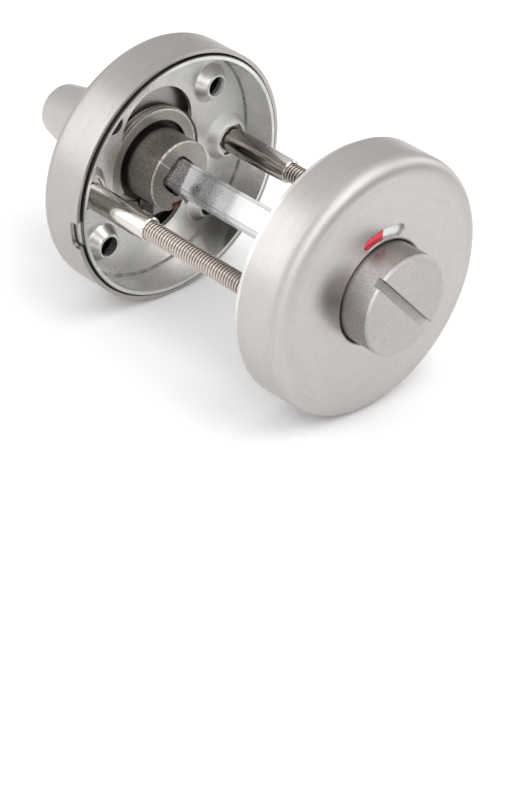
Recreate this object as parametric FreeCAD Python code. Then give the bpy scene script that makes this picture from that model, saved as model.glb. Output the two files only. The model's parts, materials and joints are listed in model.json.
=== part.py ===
import FreeCAD, Part
import math
import os

# Bathroom thumb turn lock: two round roses clamped on a door by two bolts, with a
# thumb turn on the room side, a square spindle, and a coin release with a red and
# white indicator on the outside. Lengths are in millimetres.
#
# Frame: the Y axis is the axis that everything turns about. +Y points into the room
# (thumb turn side), -Y points outside (coin release side), +Z is up, and the origin
# lies on the axis half way through the door. Angles are about Y, from +X towards +Z.
# The lock is drawn half turned, so the coin slot lies at 45 degrees.

# Door and roses
DOOR_THICKNESS = 41.4
ROSE_RADIUS = 26.0
COVER_DEPTH = 10.5
COVER_WALL = 0.8
INSIDE_CORNER_RADIUS = 2.4
OUTSIDE_CORNER_RADIUS = 3.0
PLATE_FIT_GAP = 0.3
PLATE_SHEET = 0.9
PLATE_DEPTH = 7.5
PLATE_BEND_RADIUS = 0.35
OUTSIDE_PLATE_STAND = 1.6
INSIDE_PLATE_STAND = 0.5
GRIP_PIP_RADIUS = 2.0
GRIP_PIP_COUNT = 4
GRIP_PIP_FROM_RIM = 4.5
GRIP_PIP_CLEARANCE = 0.02

# Pry notch in the rim of the inside cover
NOTCH_ANGLE = -169.7
NOTCH_WIDTH = 5.9
NOTCH_DEPTH = 1.9
NOTCH_CORNER_RADIUS = 0.9

# Indicator window in the outside cover; the cover was pressed on a little round
WINDOW_ANGLE = 93.0
WINDOW_HALF_SWEEP = 18.5
WINDOW_LAND = 0.05
WINDOW_WIDTH = 2.3
WINDOW_EDGE_ROUND = 0.2

# Raised screw dimples and bolt bosses of the plates
DIMPLE_COUNT = 4
DIMPLE_FIRST_ANGLE = 45.0
DIMPLE_HOLE_RADIUS = 2.05
DIMPLE_LIP = 0.4
DIMPLE_FLANK = 1.5
DIMPLE_HEIGHT = 2.3
DIMPLE_WALL_GAP = 1.45
BOSS_FLANK = 1.2
BOSS_HEIGHT = 2.3
BOSS_WALL_GAP = 0.85
BUMP_FOOT_ROUND = 0.7
BUMP_TOP_ROUND = 0.5
BUMP_FLANK_WALL = 0.33

# Opening of the inside plate: a circle with a lobe above and below
RING_OPENING_GAP = 0.3
LOBE_RADIUS = 9.0
LOBE_REACH = 16.0

# Clamping sleeves and bolts
SLEEVE_WALL = 0.42
SLEEVE_TAPER = 0.13
SLEEVE_REACH_INTO_DOOR = 11.5
SLEEVE_NECK_STEP = 0.3
SLEEVE_NECK_LENGTH = 0.5
SLEEVE_NECK_CLEARANCE = 0.15
SLEEVE_HEAD_THICKNESS = 1.3
SLEEVE_SLOT_WIDTH = 1.0
SLEEVE_SLOT_DEPTH = 0.7
SLEEVE_TAP_LENGTH = 14.0
SLEEVE_MOUTH_CHAMFER = 0.25
BOLT_RADIUS = 1.95
BOLT_ENGAGEMENT = 8.0
BOLT_THREAD_CLEARANCE = 0.05
BOLT_HEAD_THICKNESS = 1.2
BOLT_TIP_CHAMFER = 0.4
HEAD_RADIUS = 3.3
HEAD_HOLLOW_CLEARANCE = 0.08
SEAT_CLEARANCE = 0.02

# Square spindle
SPINDLE_SIDE = 6.0
SPINDLE_CHAMFER = 0.7
SPINDLE_ANGLE = 45.0
SPINDLE_HUB_INSERTION = 5.6
SPINDLE_KNOB_INSERTION = 5.5
SPINDLE_PIN_RADIUS = 0.75
SPINDLE_PIN_FROM_SHANK_END = 1.25
SOCKET_CLEARANCE = 0.08

# Thumb turn and its hub
TURN_BASE_RADIUS = 10.5
TURN_END_RADIUS = 4.95
TURN_LENGTH = 25.4
TURN_END_ROUND = 2.5
TURN_BASE_CHAMFER = 0.4
TURN_COVER_GAP = 0.3
NECK_RADIUS = 6.8
RUNNING_CLEARANCE = 0.08
TANG_LENGTH = 3.4
HUB_RADIUS = 7.3
HUB_FACE_BEFORE_RIM = 0.1
HUB_EDGE_CHAMFER = 0.35
HUB_JOURNAL_THICKNESS = 0.9
HUB_SEAM_WIDTH = 0.25
HUB_SEAM_HEIGHT = 0.12
HUB_SEAM_LENGTH = 2.2
HUB_RELIEF_WIDTH = 4.8
HUB_RELIEF_DEPTH = 0.55
HUB_RELIEF_LENGTH = 6.5
STOP_LUG_WIDTH = 3.4
STOP_LUG_BELOW_COLLAR = 0.6
STOP_LUG_STAND = 2.4
STOP_LUG_CLEARANCE = 0.3
STOP_LUG_ANGLE = -90.0
TURN_HALF_RANGE = 45.0
STOP_CLEARANCE_ANGLE = 2.0
GRUB_RADIUS = 2.0
GRUB_SKIN = 0.3
GRUB_THREAD_CLEARANCE = 0.04
GRUB_MOUTH_RADIUS = 2.9
GRUB_MOUTH_DEPTH = 1.9
GRUB_SOCKET_FLATS = 2.0
GRUB_SOCKET_DEPTH = 1.5

# Bearing ring and spring washer behind the inside cover
HUB_RING_GAP = 1.2
RING_WALL = 2.4
RING_FRONT_FROM_FLOOR = 0.45
RING_STEP_WIDTH = 0.25
RING_EAR_WIDTH = 1.3
RING_EAR_HALF_HEIGHT = 7.5
RING_FLANGE_THICKNESS = 0.9
RING_PLATE_GAP = 0.15
WASHER_JOURNAL_GAP = 0.88
WASHER_THICKNESS = 0.35

# Coin release knob
KNOB_RADIUS = 10.1
KNOB_STAND = 6.2
KNOB_HOLE_CLEARANCE = 0.25
KNOB_HOLE_ROUND = 0.55
KNOB_EDGE_CHAMFER = 0.45
SLOT_WIDTH = 1.9
SLOT_DEPTH = 1.5
SLOT_ANGLE = 135.0
SHANK_RADIUS = 6.0
SHANK_PAST_CLIP = 2.6

# Indicator behind the outside cover
CARRIER_BORDER = 0.4
CARRIER_THICKNESS = 1.0
SEGMENT_THICKNESS = 0.4
SEGMENT_HOLE_MARGIN = 0.3
SEGMENT_WINDOW_MARGIN = 1.0
SEGMENT_SWEEP = 80.0
INDICATOR_FACE_GAP = 0.2
SEGMENT_SPLIT_ANGLE = 90.0

# Release bush, washer and circlip in the outside plate
BUSH_WALL = 1.6
BUSH_FLANGE_WIDTH = 1.9
BUSH_SEAT_GAP = 0.1
BUSH_BARREL_STAND = 0.5
CLIP_WASHER_MARGIN = 1.2
CLIP_WASHER_THICKNESS = 0.8
CLIP_THICKNESS = 0.8
CLIP_GROOVE_DEPTH = 0.6
CLIP_STAND = 2.0
CLIP_MOUTH_ANGLE = 60.0
CLIP_SIDE_PLAY = 0.05

# Planes along Y that follow from the sizes above
INSIDE_DOOR_Y = DOOR_THICKNESS / 2
INSIDE_RIM_Y = INSIDE_DOOR_Y + INSIDE_PLATE_STAND
INSIDE_FACE_Y = INSIDE_RIM_Y + COVER_DEPTH
INSIDE_CEILING_Y = INSIDE_FACE_Y - COVER_WALL
INSIDE_FLOOR_Y = INSIDE_DOOR_Y + PLATE_DEPTH
INSIDE_FLOOR_BACK_Y = INSIDE_FLOOR_Y + PLATE_SHEET
OUTSIDE_DOOR_Y = -DOOR_THICKNESS / 2
OUTSIDE_RIM_Y = OUTSIDE_DOOR_Y - OUTSIDE_PLATE_STAND
OUTSIDE_FACE_Y = OUTSIDE_RIM_Y - COVER_DEPTH
OUTSIDE_CEILING_Y = OUTSIDE_FACE_Y + COVER_WALL
OUTSIDE_FLOOR_Y = OUTSIDE_DOOR_Y - PLATE_DEPTH
OUTSIDE_FLOOR_BACK_Y = OUTSIDE_FLOOR_Y - PLATE_SHEET
HUB_FACE_Y = INSIDE_RIM_Y - HUB_FACE_BEFORE_RIM
HUB_BACK_Y = INSIDE_CEILING_Y - TURN_COVER_GAP
RING_FRONT_Y = INSIDE_FLOOR_Y + RING_FRONT_FROM_FLOOR
RING_FLANGE_Y = INSIDE_FLOOR_BACK_Y + RING_PLATE_GAP
RING_BACK_Y = RING_FLANGE_Y + RING_FLANGE_THICKNESS
INDICATOR_FACE_Y = OUTSIDE_CEILING_Y + INDICATOR_FACE_GAP
CARRIER_FRONT_Y = INDICATOR_FACE_Y + SEGMENT_THICKNESS
CARRIER_BACK_Y = CARRIER_FRONT_Y + CARRIER_THICKNESS
BUSH_BARREL_END_Y = OUTSIDE_FLOOR_Y + BUSH_BARREL_STAND
CLIP_WASHER_Y = BUSH_BARREL_END_Y + CLIP_SIDE_PLAY
CLIP_Y = CLIP_WASHER_Y + CLIP_WASHER_THICKNESS + CLIP_SIDE_PLAY
SHANK_END_Y = CLIP_Y + CLIP_THICKNESS + SHANK_PAST_CLIP
SLEEVE_END_Y = INSIDE_DOOR_Y - SLEEVE_REACH_INTO_DOOR
GRUB_Y = HUB_FACE_Y + GRUB_RADIUS + GRUB_THREAD_CLEARANCE + GRUB_SKIN
SPINDLE_FROM_Y = SHANK_END_Y - SPINDLE_KNOB_INSERTION
SPINDLE_TO_Y = HUB_FACE_Y + SPINDLE_HUB_INSERTION

# Radii and places that follow from the sizes above
COVER_INNER_RADIUS = ROSE_RADIUS - COVER_WALL
PLATE_OUTER_RADIUS = COVER_INNER_RADIUS - PLATE_FIT_GAP
PLATE_INNER_RADIUS = PLATE_OUTER_RADIUS - PLATE_SHEET
SLEEVE_BORE_RADIUS = BOLT_RADIUS + BOLT_THREAD_CLEARANCE
SLEEVE_END_RADIUS = SLEEVE_BORE_RADIUS + SLEEVE_WALL
SLEEVE_BASE_RADIUS = SLEEVE_END_RADIUS + SLEEVE_TAPER
SLEEVE_NECK_FLATS = 2 * (SLEEVE_BASE_RADIUS + SLEEVE_NECK_STEP)
DIMPLE_TOP_RADIUS = DIMPLE_HOLE_RADIUS + DIMPLE_LIP
DIMPLE_FOOT_RADIUS = DIMPLE_TOP_RADIUS + DIMPLE_FLANK
DIMPLE_CIRCLE_RADIUS = PLATE_INNER_RADIUS - DIMPLE_FOOT_RADIUS - DIMPLE_WALL_GAP
BOSS_TOP_RADIUS = HEAD_RADIUS + HEAD_HOLLOW_CLEARANCE + BUMP_FLANK_WALL
BOSS_FOOT_RADIUS = BOSS_TOP_RADIUS + BOSS_FLANK
BOLT_X = PLATE_INNER_RADIUS - BOSS_FOOT_RADIUS - BOSS_WALL_GAP
RING_INNER_RADIUS = HUB_RADIUS + HUB_RING_GAP
RING_OUTER_RADIUS = RING_INNER_RADIUS + RING_WALL
RING_EAR_RADIUS = RING_OUTER_RADIUS + RING_EAR_WIDTH
OPENING_RADIUS = RING_OUTER_RADIUS + RING_OPENING_GAP
HUB_JOURNAL_RADIUS = RING_INNER_RADIUS - RUNNING_CLEARANCE
STOP_LUG_RADIUS = RING_OUTER_RADIUS - STOP_LUG_BELOW_COLLAR
WASHER_INNER_RADIUS = HUB_JOURNAL_RADIUS + WASHER_JOURNAL_GAP
KNOB_HOLE_RADIUS = KNOB_RADIUS + KNOB_HOLE_CLEARANCE
WINDOW_INNER_RADIUS = KNOB_HOLE_RADIUS + KNOB_HOLE_ROUND + WINDOW_LAND + WINDOW_EDGE_ROUND
WINDOW_PITCH_RADIUS = WINDOW_INNER_RADIUS + WINDOW_WIDTH / 2
SEGMENT_INNER_RADIUS = KNOB_HOLE_RADIUS + SEGMENT_HOLE_MARGIN
SEGMENT_OUTER_RADIUS = WINDOW_PITCH_RADIUS + WINDOW_WIDTH / 2 + SEGMENT_WINDOW_MARGIN
CARRIER_RADIUS = SEGMENT_OUTER_RADIUS + CARRIER_BORDER
BUSH_BARREL_RADIUS = SHANK_RADIUS + BUSH_WALL
BUSH_FLANGE_RADIUS = BUSH_BARREL_RADIUS + BUSH_FLANGE_WIDTH
CLIP_WASHER_RADIUS = BUSH_BARREL_RADIUS + CLIP_WASHER_MARGIN
CLIP_RADIUS = SHANK_RADIUS + CLIP_STAND

AXIS = FreeCAD.Vector(0, 1, 0)
ORIGIN = FreeCAD.Vector(0, 0, 0)
FULL_TURN = 360.0
RIGHT_ANGLE = 90.0
HEXAGON_SIDES = 6
SQUARE_SIDES = 4
EPS = 0.01
OVERCUT = 1.0


def vec(x, y, z):
    return FreeCAD.Vector(x, y, z)


def rounded_corner(before, corner, after, rounding):
    """Start, middle and end of the tangent arc that rounds one corner of an outline."""
    to_before = (before - corner).normalize()
    to_after = (after - corner).normalize()
    half_angle = to_before.getAngle(to_after) / 2
    reach = rounding / math.tan(half_angle)
    middle = (to_before + to_after).normalize() * (rounding / math.sin(half_angle) - rounding)
    return corner + to_before * reach, corner + middle, corner + to_after * reach


def turned(corners):
    """Solid turned about the Y axis from a closed outline.

    Each corner is (radius, y), or (radius, y, rounding) where a tangent arc rounds it.
    """
    points = [vec(corner[0], corner[1], 0) for corner in corners]
    runs = []
    for i, corner in enumerate(corners):
        if len(corner) > 2:
            after = points[(i + 1) % len(points)]
            runs.append(rounded_corner(points[i - 1], points[i], after, corner[2]))
        else:
            runs.append((points[i],))
    edges = []
    for i, run in enumerate(runs):
        if len(run) > 1:
            edges.append(Part.Arc(*run).toShape())
        edges.append(Part.LineSegment(run[-1], runs[(i + 1) % len(runs)][0]).toShape())
    return Part.Face(Part.Wire(edges)).revolve(ORIGIN, AXIS, FULL_TURN)


def disc(radius, y_from, y_to, x=0.0, z=0.0):
    low, high = min(y_from, y_to), max(y_from, y_to)
    return Part.makeCylinder(radius, high - low, vec(x, low, z), AXIS)


def tube(outer, inner, y_from, y_to):
    return disc(outer, y_from, y_to).cut(disc(inner, y_from - OVERCUT, y_to + OVERCUT))


def about_axis(shape, angle):
    """Copy turned about the Y axis, from +X towards +Z."""
    copy = shape.copy()
    copy.rotate(ORIGIN, AXIS, -angle)
    return copy


def box(x_from, x_to, y_from, y_to, z_from, z_to):
    corner = vec(x_from, min(y_from, y_to), z_from)
    return Part.makeBox(x_to - x_from, abs(y_to - y_from), z_to - z_from, corner)


def square_bar(side, chamfer, y_from, y_to):
    """Square bar along Y standing on its corner, with its long edges chamfered."""
    half = side / 2
    cut = half - chamfer
    outline = [(half, -cut), (half, cut), (cut, half), (-cut, half),
               (-half, cut), (-half, -cut), (-cut, -half), (cut, -half)]
    points = [vec(x, min(y_from, y_to), z) for x, z in outline]
    face = Part.Face(Part.makePolygon(points + points[:1]))
    bar = face.extrude(vec(0, abs(y_to - y_from), 0))
    return about_axis(bar, SPINDLE_ANGLE)


def square_socket(side, y_from, y_to):
    half = side / 2
    return about_axis(box(-half, half, y_from, y_to, -half, half), SPINDLE_ANGLE)


def hexagon(flats, y_from, y_to, x=0.0):
    """Hexagonal prism along Y with two flats facing up and down."""
    corner = flats / 2 / math.cos(math.pi / HEXAGON_SIDES)
    points = []
    for i in range(HEXAGON_SIDES):
        angle = math.radians(i * FULL_TURN / HEXAGON_SIDES)
        points.append(vec(x + corner * math.cos(angle), min(y_from, y_to), corner * math.sin(angle)))
    face = Part.Face(Part.makePolygon(points + points[:1]))
    return face.extrude(vec(0, abs(y_to - y_from), 0))


def sector(inner, outer, start_angle, sweep, y_from, y_to):
    """Ring sector between two angles, turned from one radial rectangle."""
    low, high = min(y_from, y_to), max(y_from, y_to)
    points = [vec(inner, low, 0), vec(outer, low, 0), vec(outer, high, 0), vec(inner, high, 0)]
    face = Part.Face(Part.makePolygon(points + points[:1]))
    return about_axis(face.revolve(ORIGIN, AXIS, -sweep), start_angle)


def arc_slot(pitch_radius, width, centre_angle, half_sweep, y_from, y_to):
    """Curved slot with round ends, concentric with the lock axis."""
    half = width / 2
    first = centre_angle - half_sweep
    slot = sector(pitch_radius - half, pitch_radius + half, first, 2 * half_sweep, y_from, y_to)
    for angle in (first, centre_angle + half_sweep):
        x = pitch_radius * math.cos(math.radians(angle))
        z = pitch_radius * math.sin(math.radians(angle))
        slot = slot.fuse(disc(half, y_from, y_to, x, z))
    return slot.removeSplitter()


def cover_cup(rim_y, face_y, ceiling_y, corner_radius, hole_edge):
    """Pressed stainless cup: side wall, rounded front edge and flat face round a hole."""
    return turned([
        hole_edge, (ROSE_RADIUS, face_y, corner_radius), (ROSE_RADIUS, rim_y),
        (COVER_INNER_RADIUS, rim_y), (COVER_INNER_RADIUS, ceiling_y, corner_radius - COVER_WALL),
        (hole_edge[0], ceiling_y),
    ])


def plate_pan(door_y, floor_y):
    """Pressed steel pan: floor near the cover's face, wall that rises to the door."""
    side = 1.0 if floor_y > door_y else -1.0
    back_y = floor_y + side * PLATE_SHEET
    return turned([
        (0, back_y), (PLATE_OUTER_RADIUS, back_y, PLATE_BEND_RADIUS + PLATE_SHEET),
        (PLATE_OUTER_RADIUS, door_y), (PLATE_INNER_RADIUS, door_y),
        (PLATE_INNER_RADIUS, floor_y, PLATE_BEND_RADIUS), (0, floor_y),
    ])


def bump(foot_radius, top_radius, base_y, top_y, root_y):
    """Round hill with a rounded foot and crest, and its core sunk as far as root_y."""
    core_radius = foot_radius + BUMP_FOOT_ROUND
    return turned([
        (0, root_y), (core_radius, root_y), (core_radius, base_y),
        (foot_radius, base_y, BUMP_FOOT_ROUND), (top_radius, top_y, BUMP_TOP_ROUND), (0, top_y),
    ])


def bump_hollow(foot_radius, top_radius, back_y, top_y):
    """Plain cone that keeps the sheet of a hill even, open at the plate's back."""
    foot = foot_radius - BUMP_FLANK_WALL
    top = top_radius - BUMP_FLANK_WALL
    return turned([(0, back_y), (foot, back_y), (top, top_y), (0, top_y)])


def pressed_bumps(pan, places, foot_radius, top_radius, height, floor_y, side):
    """Raise hills of even sheet towards the door, hollow from the cover's side."""
    top_y = floor_y - side * height
    sheet = side * PLATE_SHEET
    raised = bump(foot_radius, top_radius, floor_y, top_y, floor_y + sheet / 2)
    hollow = bump_hollow(foot_radius, top_radius, floor_y + sheet, top_y + sheet)
    for x, z in places:
        up = raised.copy()
        up.translate(vec(x, 0, z))
        down = hollow.copy()
        down.translate(vec(x, 0, z))
        pan = pan.fuse(up).cut(down)
    return pan


def dimple_places():
    places = []
    for i in range(DIMPLE_COUNT):
        angle = math.radians(DIMPLE_FIRST_ANGLE + i * FULL_TURN / DIMPLE_COUNT)
        reach = DIMPLE_CIRCLE_RADIUS
        places.append((reach * math.cos(angle), reach * math.sin(angle)))
    return places


def grip_pips(pan, door_y, side):
    """Small pips pressed out of the wall that the cover snaps over."""
    pip_y = door_y + side * GRIP_PIP_FROM_RIM
    reach = PLATE_OUTER_RADIUS + PLATE_FIT_GAP - GRIP_PIP_CLEARANCE
    pip = Part.makeSphere(GRIP_PIP_RADIUS, vec(reach - GRIP_PIP_RADIUS, pip_y, 0))
    mid_wall = PLATE_INNER_RADIUS + PLATE_SHEET / 2
    pip = pip.cut(disc(mid_wall, pip_y - GRIP_PIP_RADIUS, pip_y + GRIP_PIP_RADIUS))
    for i in range(GRIP_PIP_COUNT):
        pan = pan.fuse(about_axis(pip, i * FULL_TURN / GRIP_PIP_COUNT + DIMPLE_FIRST_ANGLE))
    return pan


def rose_plate(door_y, floor_y):
    """Pan with four screw dimples, two bolt bosses and grip pips, not yet pierced."""
    side = 1.0 if floor_y > door_y else -1.0
    pan = plate_pan(door_y, floor_y)
    dimple = (DIMPLE_FOOT_RADIUS, DIMPLE_TOP_RADIUS, DIMPLE_HEIGHT)
    boss = (BOSS_FOOT_RADIUS, BOSS_TOP_RADIUS, BOSS_HEIGHT)
    pan = pressed_bumps(pan, dimple_places(), *dimple, floor_y, side)
    pan = pressed_bumps(pan, [(-BOLT_X, 0.0), (BOLT_X, 0.0)], *boss, floor_y, side)
    for x, z in dimple_places():
        pan = pan.cut(disc(DIMPLE_HOLE_RADIUS, door_y, floor_y + side * 2 * PLATE_SHEET, x, z))
    return grip_pips(pan, door_y, side).removeSplitter()


def lobed_opening(y_from, y_to):
    """Round opening with a shallower lobe above and below."""
    opening = disc(OPENING_RADIUS, y_from, y_to)
    rise = LOBE_REACH - LOBE_RADIUS
    for z in (-rise, rise):
        opening = opening.fuse(disc(LOBE_RADIUS, y_from, y_to, 0, z))
    return opening.removeSplitter()


def make_inside_plate():
    plate = rose_plate(INSIDE_DOOR_Y, INSIDE_FLOOR_Y)
    plate = plate.cut(lobed_opening(INSIDE_FLOOR_Y - OVERCUT, INSIDE_FLOOR_BACK_Y + OVERCUT))
    flats = SLEEVE_NECK_FLATS + 2 * SLEEVE_NECK_CLEARANCE
    for x in (-BOLT_X, BOLT_X):
        plate = plate.cut(hexagon(flats, INSIDE_DOOR_Y, INSIDE_CEILING_Y, x))
    return plate


def make_outside_plate():
    plate = rose_plate(OUTSIDE_DOOR_Y, OUTSIDE_FLOOR_Y)
    hole = BUSH_BARREL_RADIUS + RUNNING_CLEARANCE
    plate = plate.cut(disc(hole, OUTSIDE_FLOOR_Y + OVERCUT, OUTSIDE_FLOOR_BACK_Y - OVERCUT))
    for x in (-BOLT_X, BOLT_X):
        plate = plate.cut(disc(BOLT_RADIUS + SEAT_CLEARANCE, OUTSIDE_DOOR_Y, OUTSIDE_CEILING_Y, x))
    return plate


def pry_notch():
    """Rounded notch that a screwdriver enters to lift the cover off its plate."""
    half = NOTCH_WIDTH / 2
    bottom_y = INSIDE_RIM_Y + NOTCH_DEPTH
    wall_in = COVER_INNER_RADIUS - PLATE_FIT_GAP / 2
    notch = box(wall_in, ROSE_RADIUS + OVERCUT, INSIDE_RIM_Y - OVERCUT, bottom_y, -half, half)
    corners = [e for e in notch.Edges if is_notch_corner(e, bottom_y)]
    return about_axis(notch.makeFillet(NOTCH_CORNER_RADIUS, corners), NOTCH_ANGLE)


def is_notch_corner(edge, bottom_y):
    along_x = abs(edge.Vertexes[0].X - edge.Vertexes[-1].X) > OVERCUT
    at_bottom = all(abs(v.Y - bottom_y) < EPS for v in edge.Vertexes)
    return along_x and at_bottom


def make_inside_cover():
    hole_edge = (NECK_RADIUS + RUNNING_CLEARANCE, INSIDE_FACE_Y)
    planes = (INSIDE_RIM_Y, INSIDE_FACE_Y, INSIDE_CEILING_Y)
    return cover_cup(*planes, INSIDE_CORNER_RADIUS, hole_edge).cut(pry_notch())


def make_outside_cover():
    """Cover with the drawn-in knob hole and the indicator window, whose edge is rounded."""
    hole_edge = (KNOB_HOLE_RADIUS, OUTSIDE_FACE_Y, KNOB_HOLE_ROUND)
    planes = (OUTSIDE_RIM_Y, OUTSIDE_FACE_Y, OUTSIDE_CEILING_Y)
    cover = cover_cup(*planes, OUTSIDE_CORNER_RADIUS, hole_edge)
    through = (OUTSIDE_FACE_Y - OVERCUT, OUTSIDE_CEILING_Y + OVERCUT)
    window = arc_slot(WINDOW_PITCH_RADIUS, WINDOW_WIDTH, WINDOW_ANGLE, WINDOW_HALF_SWEEP, *through)
    cover = cover.cut(window)
    edges = [edge for edge in cover.Edges if is_window_edge(edge)]
    return cover.makeFillet(WINDOW_EDGE_ROUND, edges)


def is_window_edge(edge):
    """True for an edge of the window in the cover's face, not the full circles round it."""
    in_face = all(abs(v.Y - OUTSIDE_FACE_Y) < EPS for v in edge.Vertexes)
    return in_face and len(edge.Vertexes) > 1


def make_thumb_turn():
    """Conical grip with a rounded end, a neck through the cover and a square tang."""
    base_y = INSIDE_FACE_Y + TURN_COVER_GAP
    end_y = INSIDE_FACE_Y + TURN_LENGTH
    neck_y = HUB_BACK_Y
    chamfer = TURN_BASE_CHAMFER
    grip = turned([
        (0, neck_y), (NECK_RADIUS, neck_y), (NECK_RADIUS, base_y),
        (TURN_BASE_RADIUS - chamfer, base_y), (TURN_BASE_RADIUS, base_y + chamfer),
        (TURN_END_RADIUS, end_y, TURN_END_ROUND), (0, end_y),
    ])
    tang = square_bar(SPINDLE_SIDE, SPINDLE_CHAMFER, neck_y - TANG_LENGTH, neck_y)
    return grip.fuse(tang).removeSplitter()


def make_turn_hub():
    """Die-cast hub with a square socket, a stop lug and a journal in the bearing ring."""
    journal_y = HUB_BACK_Y - HUB_JOURNAL_THICKNESS
    chamfer = HUB_EDGE_CHAMFER
    hub = turned([
        (0, HUB_FACE_Y), (HUB_RADIUS - chamfer, HUB_FACE_Y), (HUB_RADIUS, HUB_FACE_Y + chamfer),
        (HUB_RADIUS, journal_y), (HUB_JOURNAL_RADIUS, journal_y),
        (HUB_JOURNAL_RADIUS, HUB_BACK_Y), (0, HUB_BACK_Y),
    ])
    hub = hub.fuse(stop_lug())
    socket = SPINDLE_SIDE + 2 * SOCKET_CLEARANCE
    hub = hub.cut(square_socket(socket, HUB_FACE_Y - OVERCUT, HUB_BACK_Y + OVERCUT))
    hub = hub.cut(socket_reliefs(socket / 2)).fuse(casting_seam())
    bore = grub_cylinder(GRUB_RADIUS + GRUB_THREAD_CLEARANCE, 0, HUB_RADIUS + OVERCUT)
    mouth = grub_cylinder(GRUB_MOUTH_RADIUS, HUB_RADIUS - GRUB_MOUTH_DEPTH, HUB_RADIUS + OVERCUT)
    return hub.cut(bore).cut(mouth).removeSplitter()


def grub_cylinder(radius, from_depth, to_depth):
    """Cylinder that points down from the axis, where the grub screw stands."""
    return Part.makeCylinder(radius, to_depth - from_depth, vec(0, GRUB_Y, -from_depth), vec(0, 0, -1))


def stop_lug():
    """Lug that swings in the gap of the bearing ring and stops against its ends."""
    half = STOP_LUG_WIDTH / 2
    lug_y = RING_FRONT_Y - STOP_LUG_STAND
    lug = box(HUB_RADIUS - OVERCUT, STOP_LUG_RADIUS, lug_y, RING_BACK_Y, -half, half)
    return about_axis(lug, STOP_LUG_ANGLE)


def socket_reliefs(flat_reach):
    """Shallow round-backed reliefs in the four walls of the square socket."""
    back_radius = (HUB_RELIEF_WIDTH ** 2 / 4 + HUB_RELIEF_DEPTH ** 2) / (2 * HUB_RELIEF_DEPTH)
    centre = flat_reach + HUB_RELIEF_DEPTH - back_radius
    span = (HUB_FACE_Y - OVERCUT, HUB_FACE_Y + HUB_RELIEF_LENGTH)
    half_width = HUB_RELIEF_WIDTH / 2
    reach = flat_reach + 2 * HUB_RELIEF_DEPTH
    relief = disc(back_radius, *span, centre).common(box(0, reach, *span, -half_width, half_width))
    reliefs = [about_axis(relief, SPINDLE_ANGLE + i * RIGHT_ANGLE) for i in range(SQUARE_SIDES)]
    return reliefs[0].multiFuse(reliefs[1:])


def casting_seam():
    """Fine raised line that the die leaves along one side and across the end face."""
    half = HUB_SEAM_WIDTH / 2
    out = HUB_RADIUS + HUB_SEAM_HEIGHT
    face_y = HUB_FACE_Y - HUB_SEAM_HEIGHT
    seam = box(HUB_RADIUS - HUB_SEAM_LENGTH, out, face_y, HUB_FACE_Y + HUB_SEAM_LENGTH, -half, half)
    return about_axis(seam, SLOT_ANGLE)


def make_grub_screw():
    """Socket grub screw that bears on the chamfered lower corner of the spindle."""
    corner_reach = SPINDLE_SIDE / math.sqrt(2) - SPINDLE_CHAMFER / math.sqrt(2)
    screw = grub_cylinder(GRUB_RADIUS, corner_reach + SEAT_CLEARANCE, HUB_RADIUS)
    key = grub_cylinder(GRUB_SOCKET_FLATS / 2, HUB_RADIUS - GRUB_SOCKET_DEPTH, HUB_RADIUS)
    return screw.cut(key)


def make_bearing_ring():
    """Collar round the hub with two ears behind the plate and a gap for the stop lug."""
    ears = disc(RING_EAR_RADIUS, RING_FLANGE_Y, RING_BACK_Y)
    half_height = RING_EAR_HALF_HEIGHT
    ears = ears.common(box(-RING_EAR_RADIUS, RING_EAR_RADIUS, RING_FLANGE_Y, RING_BACK_Y,
                           -half_height, half_height))
    ring = disc(RING_OUTER_RADIUS + RING_STEP_WIDTH, RING_FLANGE_Y, RING_BACK_Y).fuse(ears)
    ring = ring.fuse(disc(RING_OUTER_RADIUS, RING_FRONT_Y, RING_BACK_Y))
    front_y = RING_FRONT_Y - OVERCUT
    ring = ring.cut(disc(RING_INNER_RADIUS, front_y, RING_BACK_Y + OVERCUT))
    lug_half = math.degrees(math.asin(STOP_LUG_WIDTH / 2 / RING_INNER_RADIUS))
    half = TURN_HALF_RANGE + lug_half + STOP_CLEARANCE_ANGLE
    span = (STOP_LUG_ANGLE - half, 2 * half)
    inner = RING_INNER_RADIUS - OVERCUT
    swing_radius = STOP_LUG_RADIUS + STOP_LUG_CLEARANCE
    swing = sector(inner, swing_radius, *span, front_y, RING_BACK_Y + OVERCUT)
    collar = sector(inner, RING_OUTER_RADIUS + OVERCUT, *span, front_y, RING_FLANGE_Y)
    return ring.cut(swing).cut(collar).removeSplitter()


def make_spring_washer():
    """Coned washer that takes up the play between the ring and the cover."""
    low_y = RING_BACK_Y + SEAT_CLEARANCE
    high_y = INSIDE_CEILING_Y - SEAT_CLEARANCE
    return turned([
        (WASHER_INNER_RADIUS, high_y - WASHER_THICKNESS), (RING_OUTER_RADIUS, low_y),
        (RING_OUTER_RADIUS, low_y + WASHER_THICKNESS), (WASHER_INNER_RADIUS, high_y),
    ])


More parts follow.
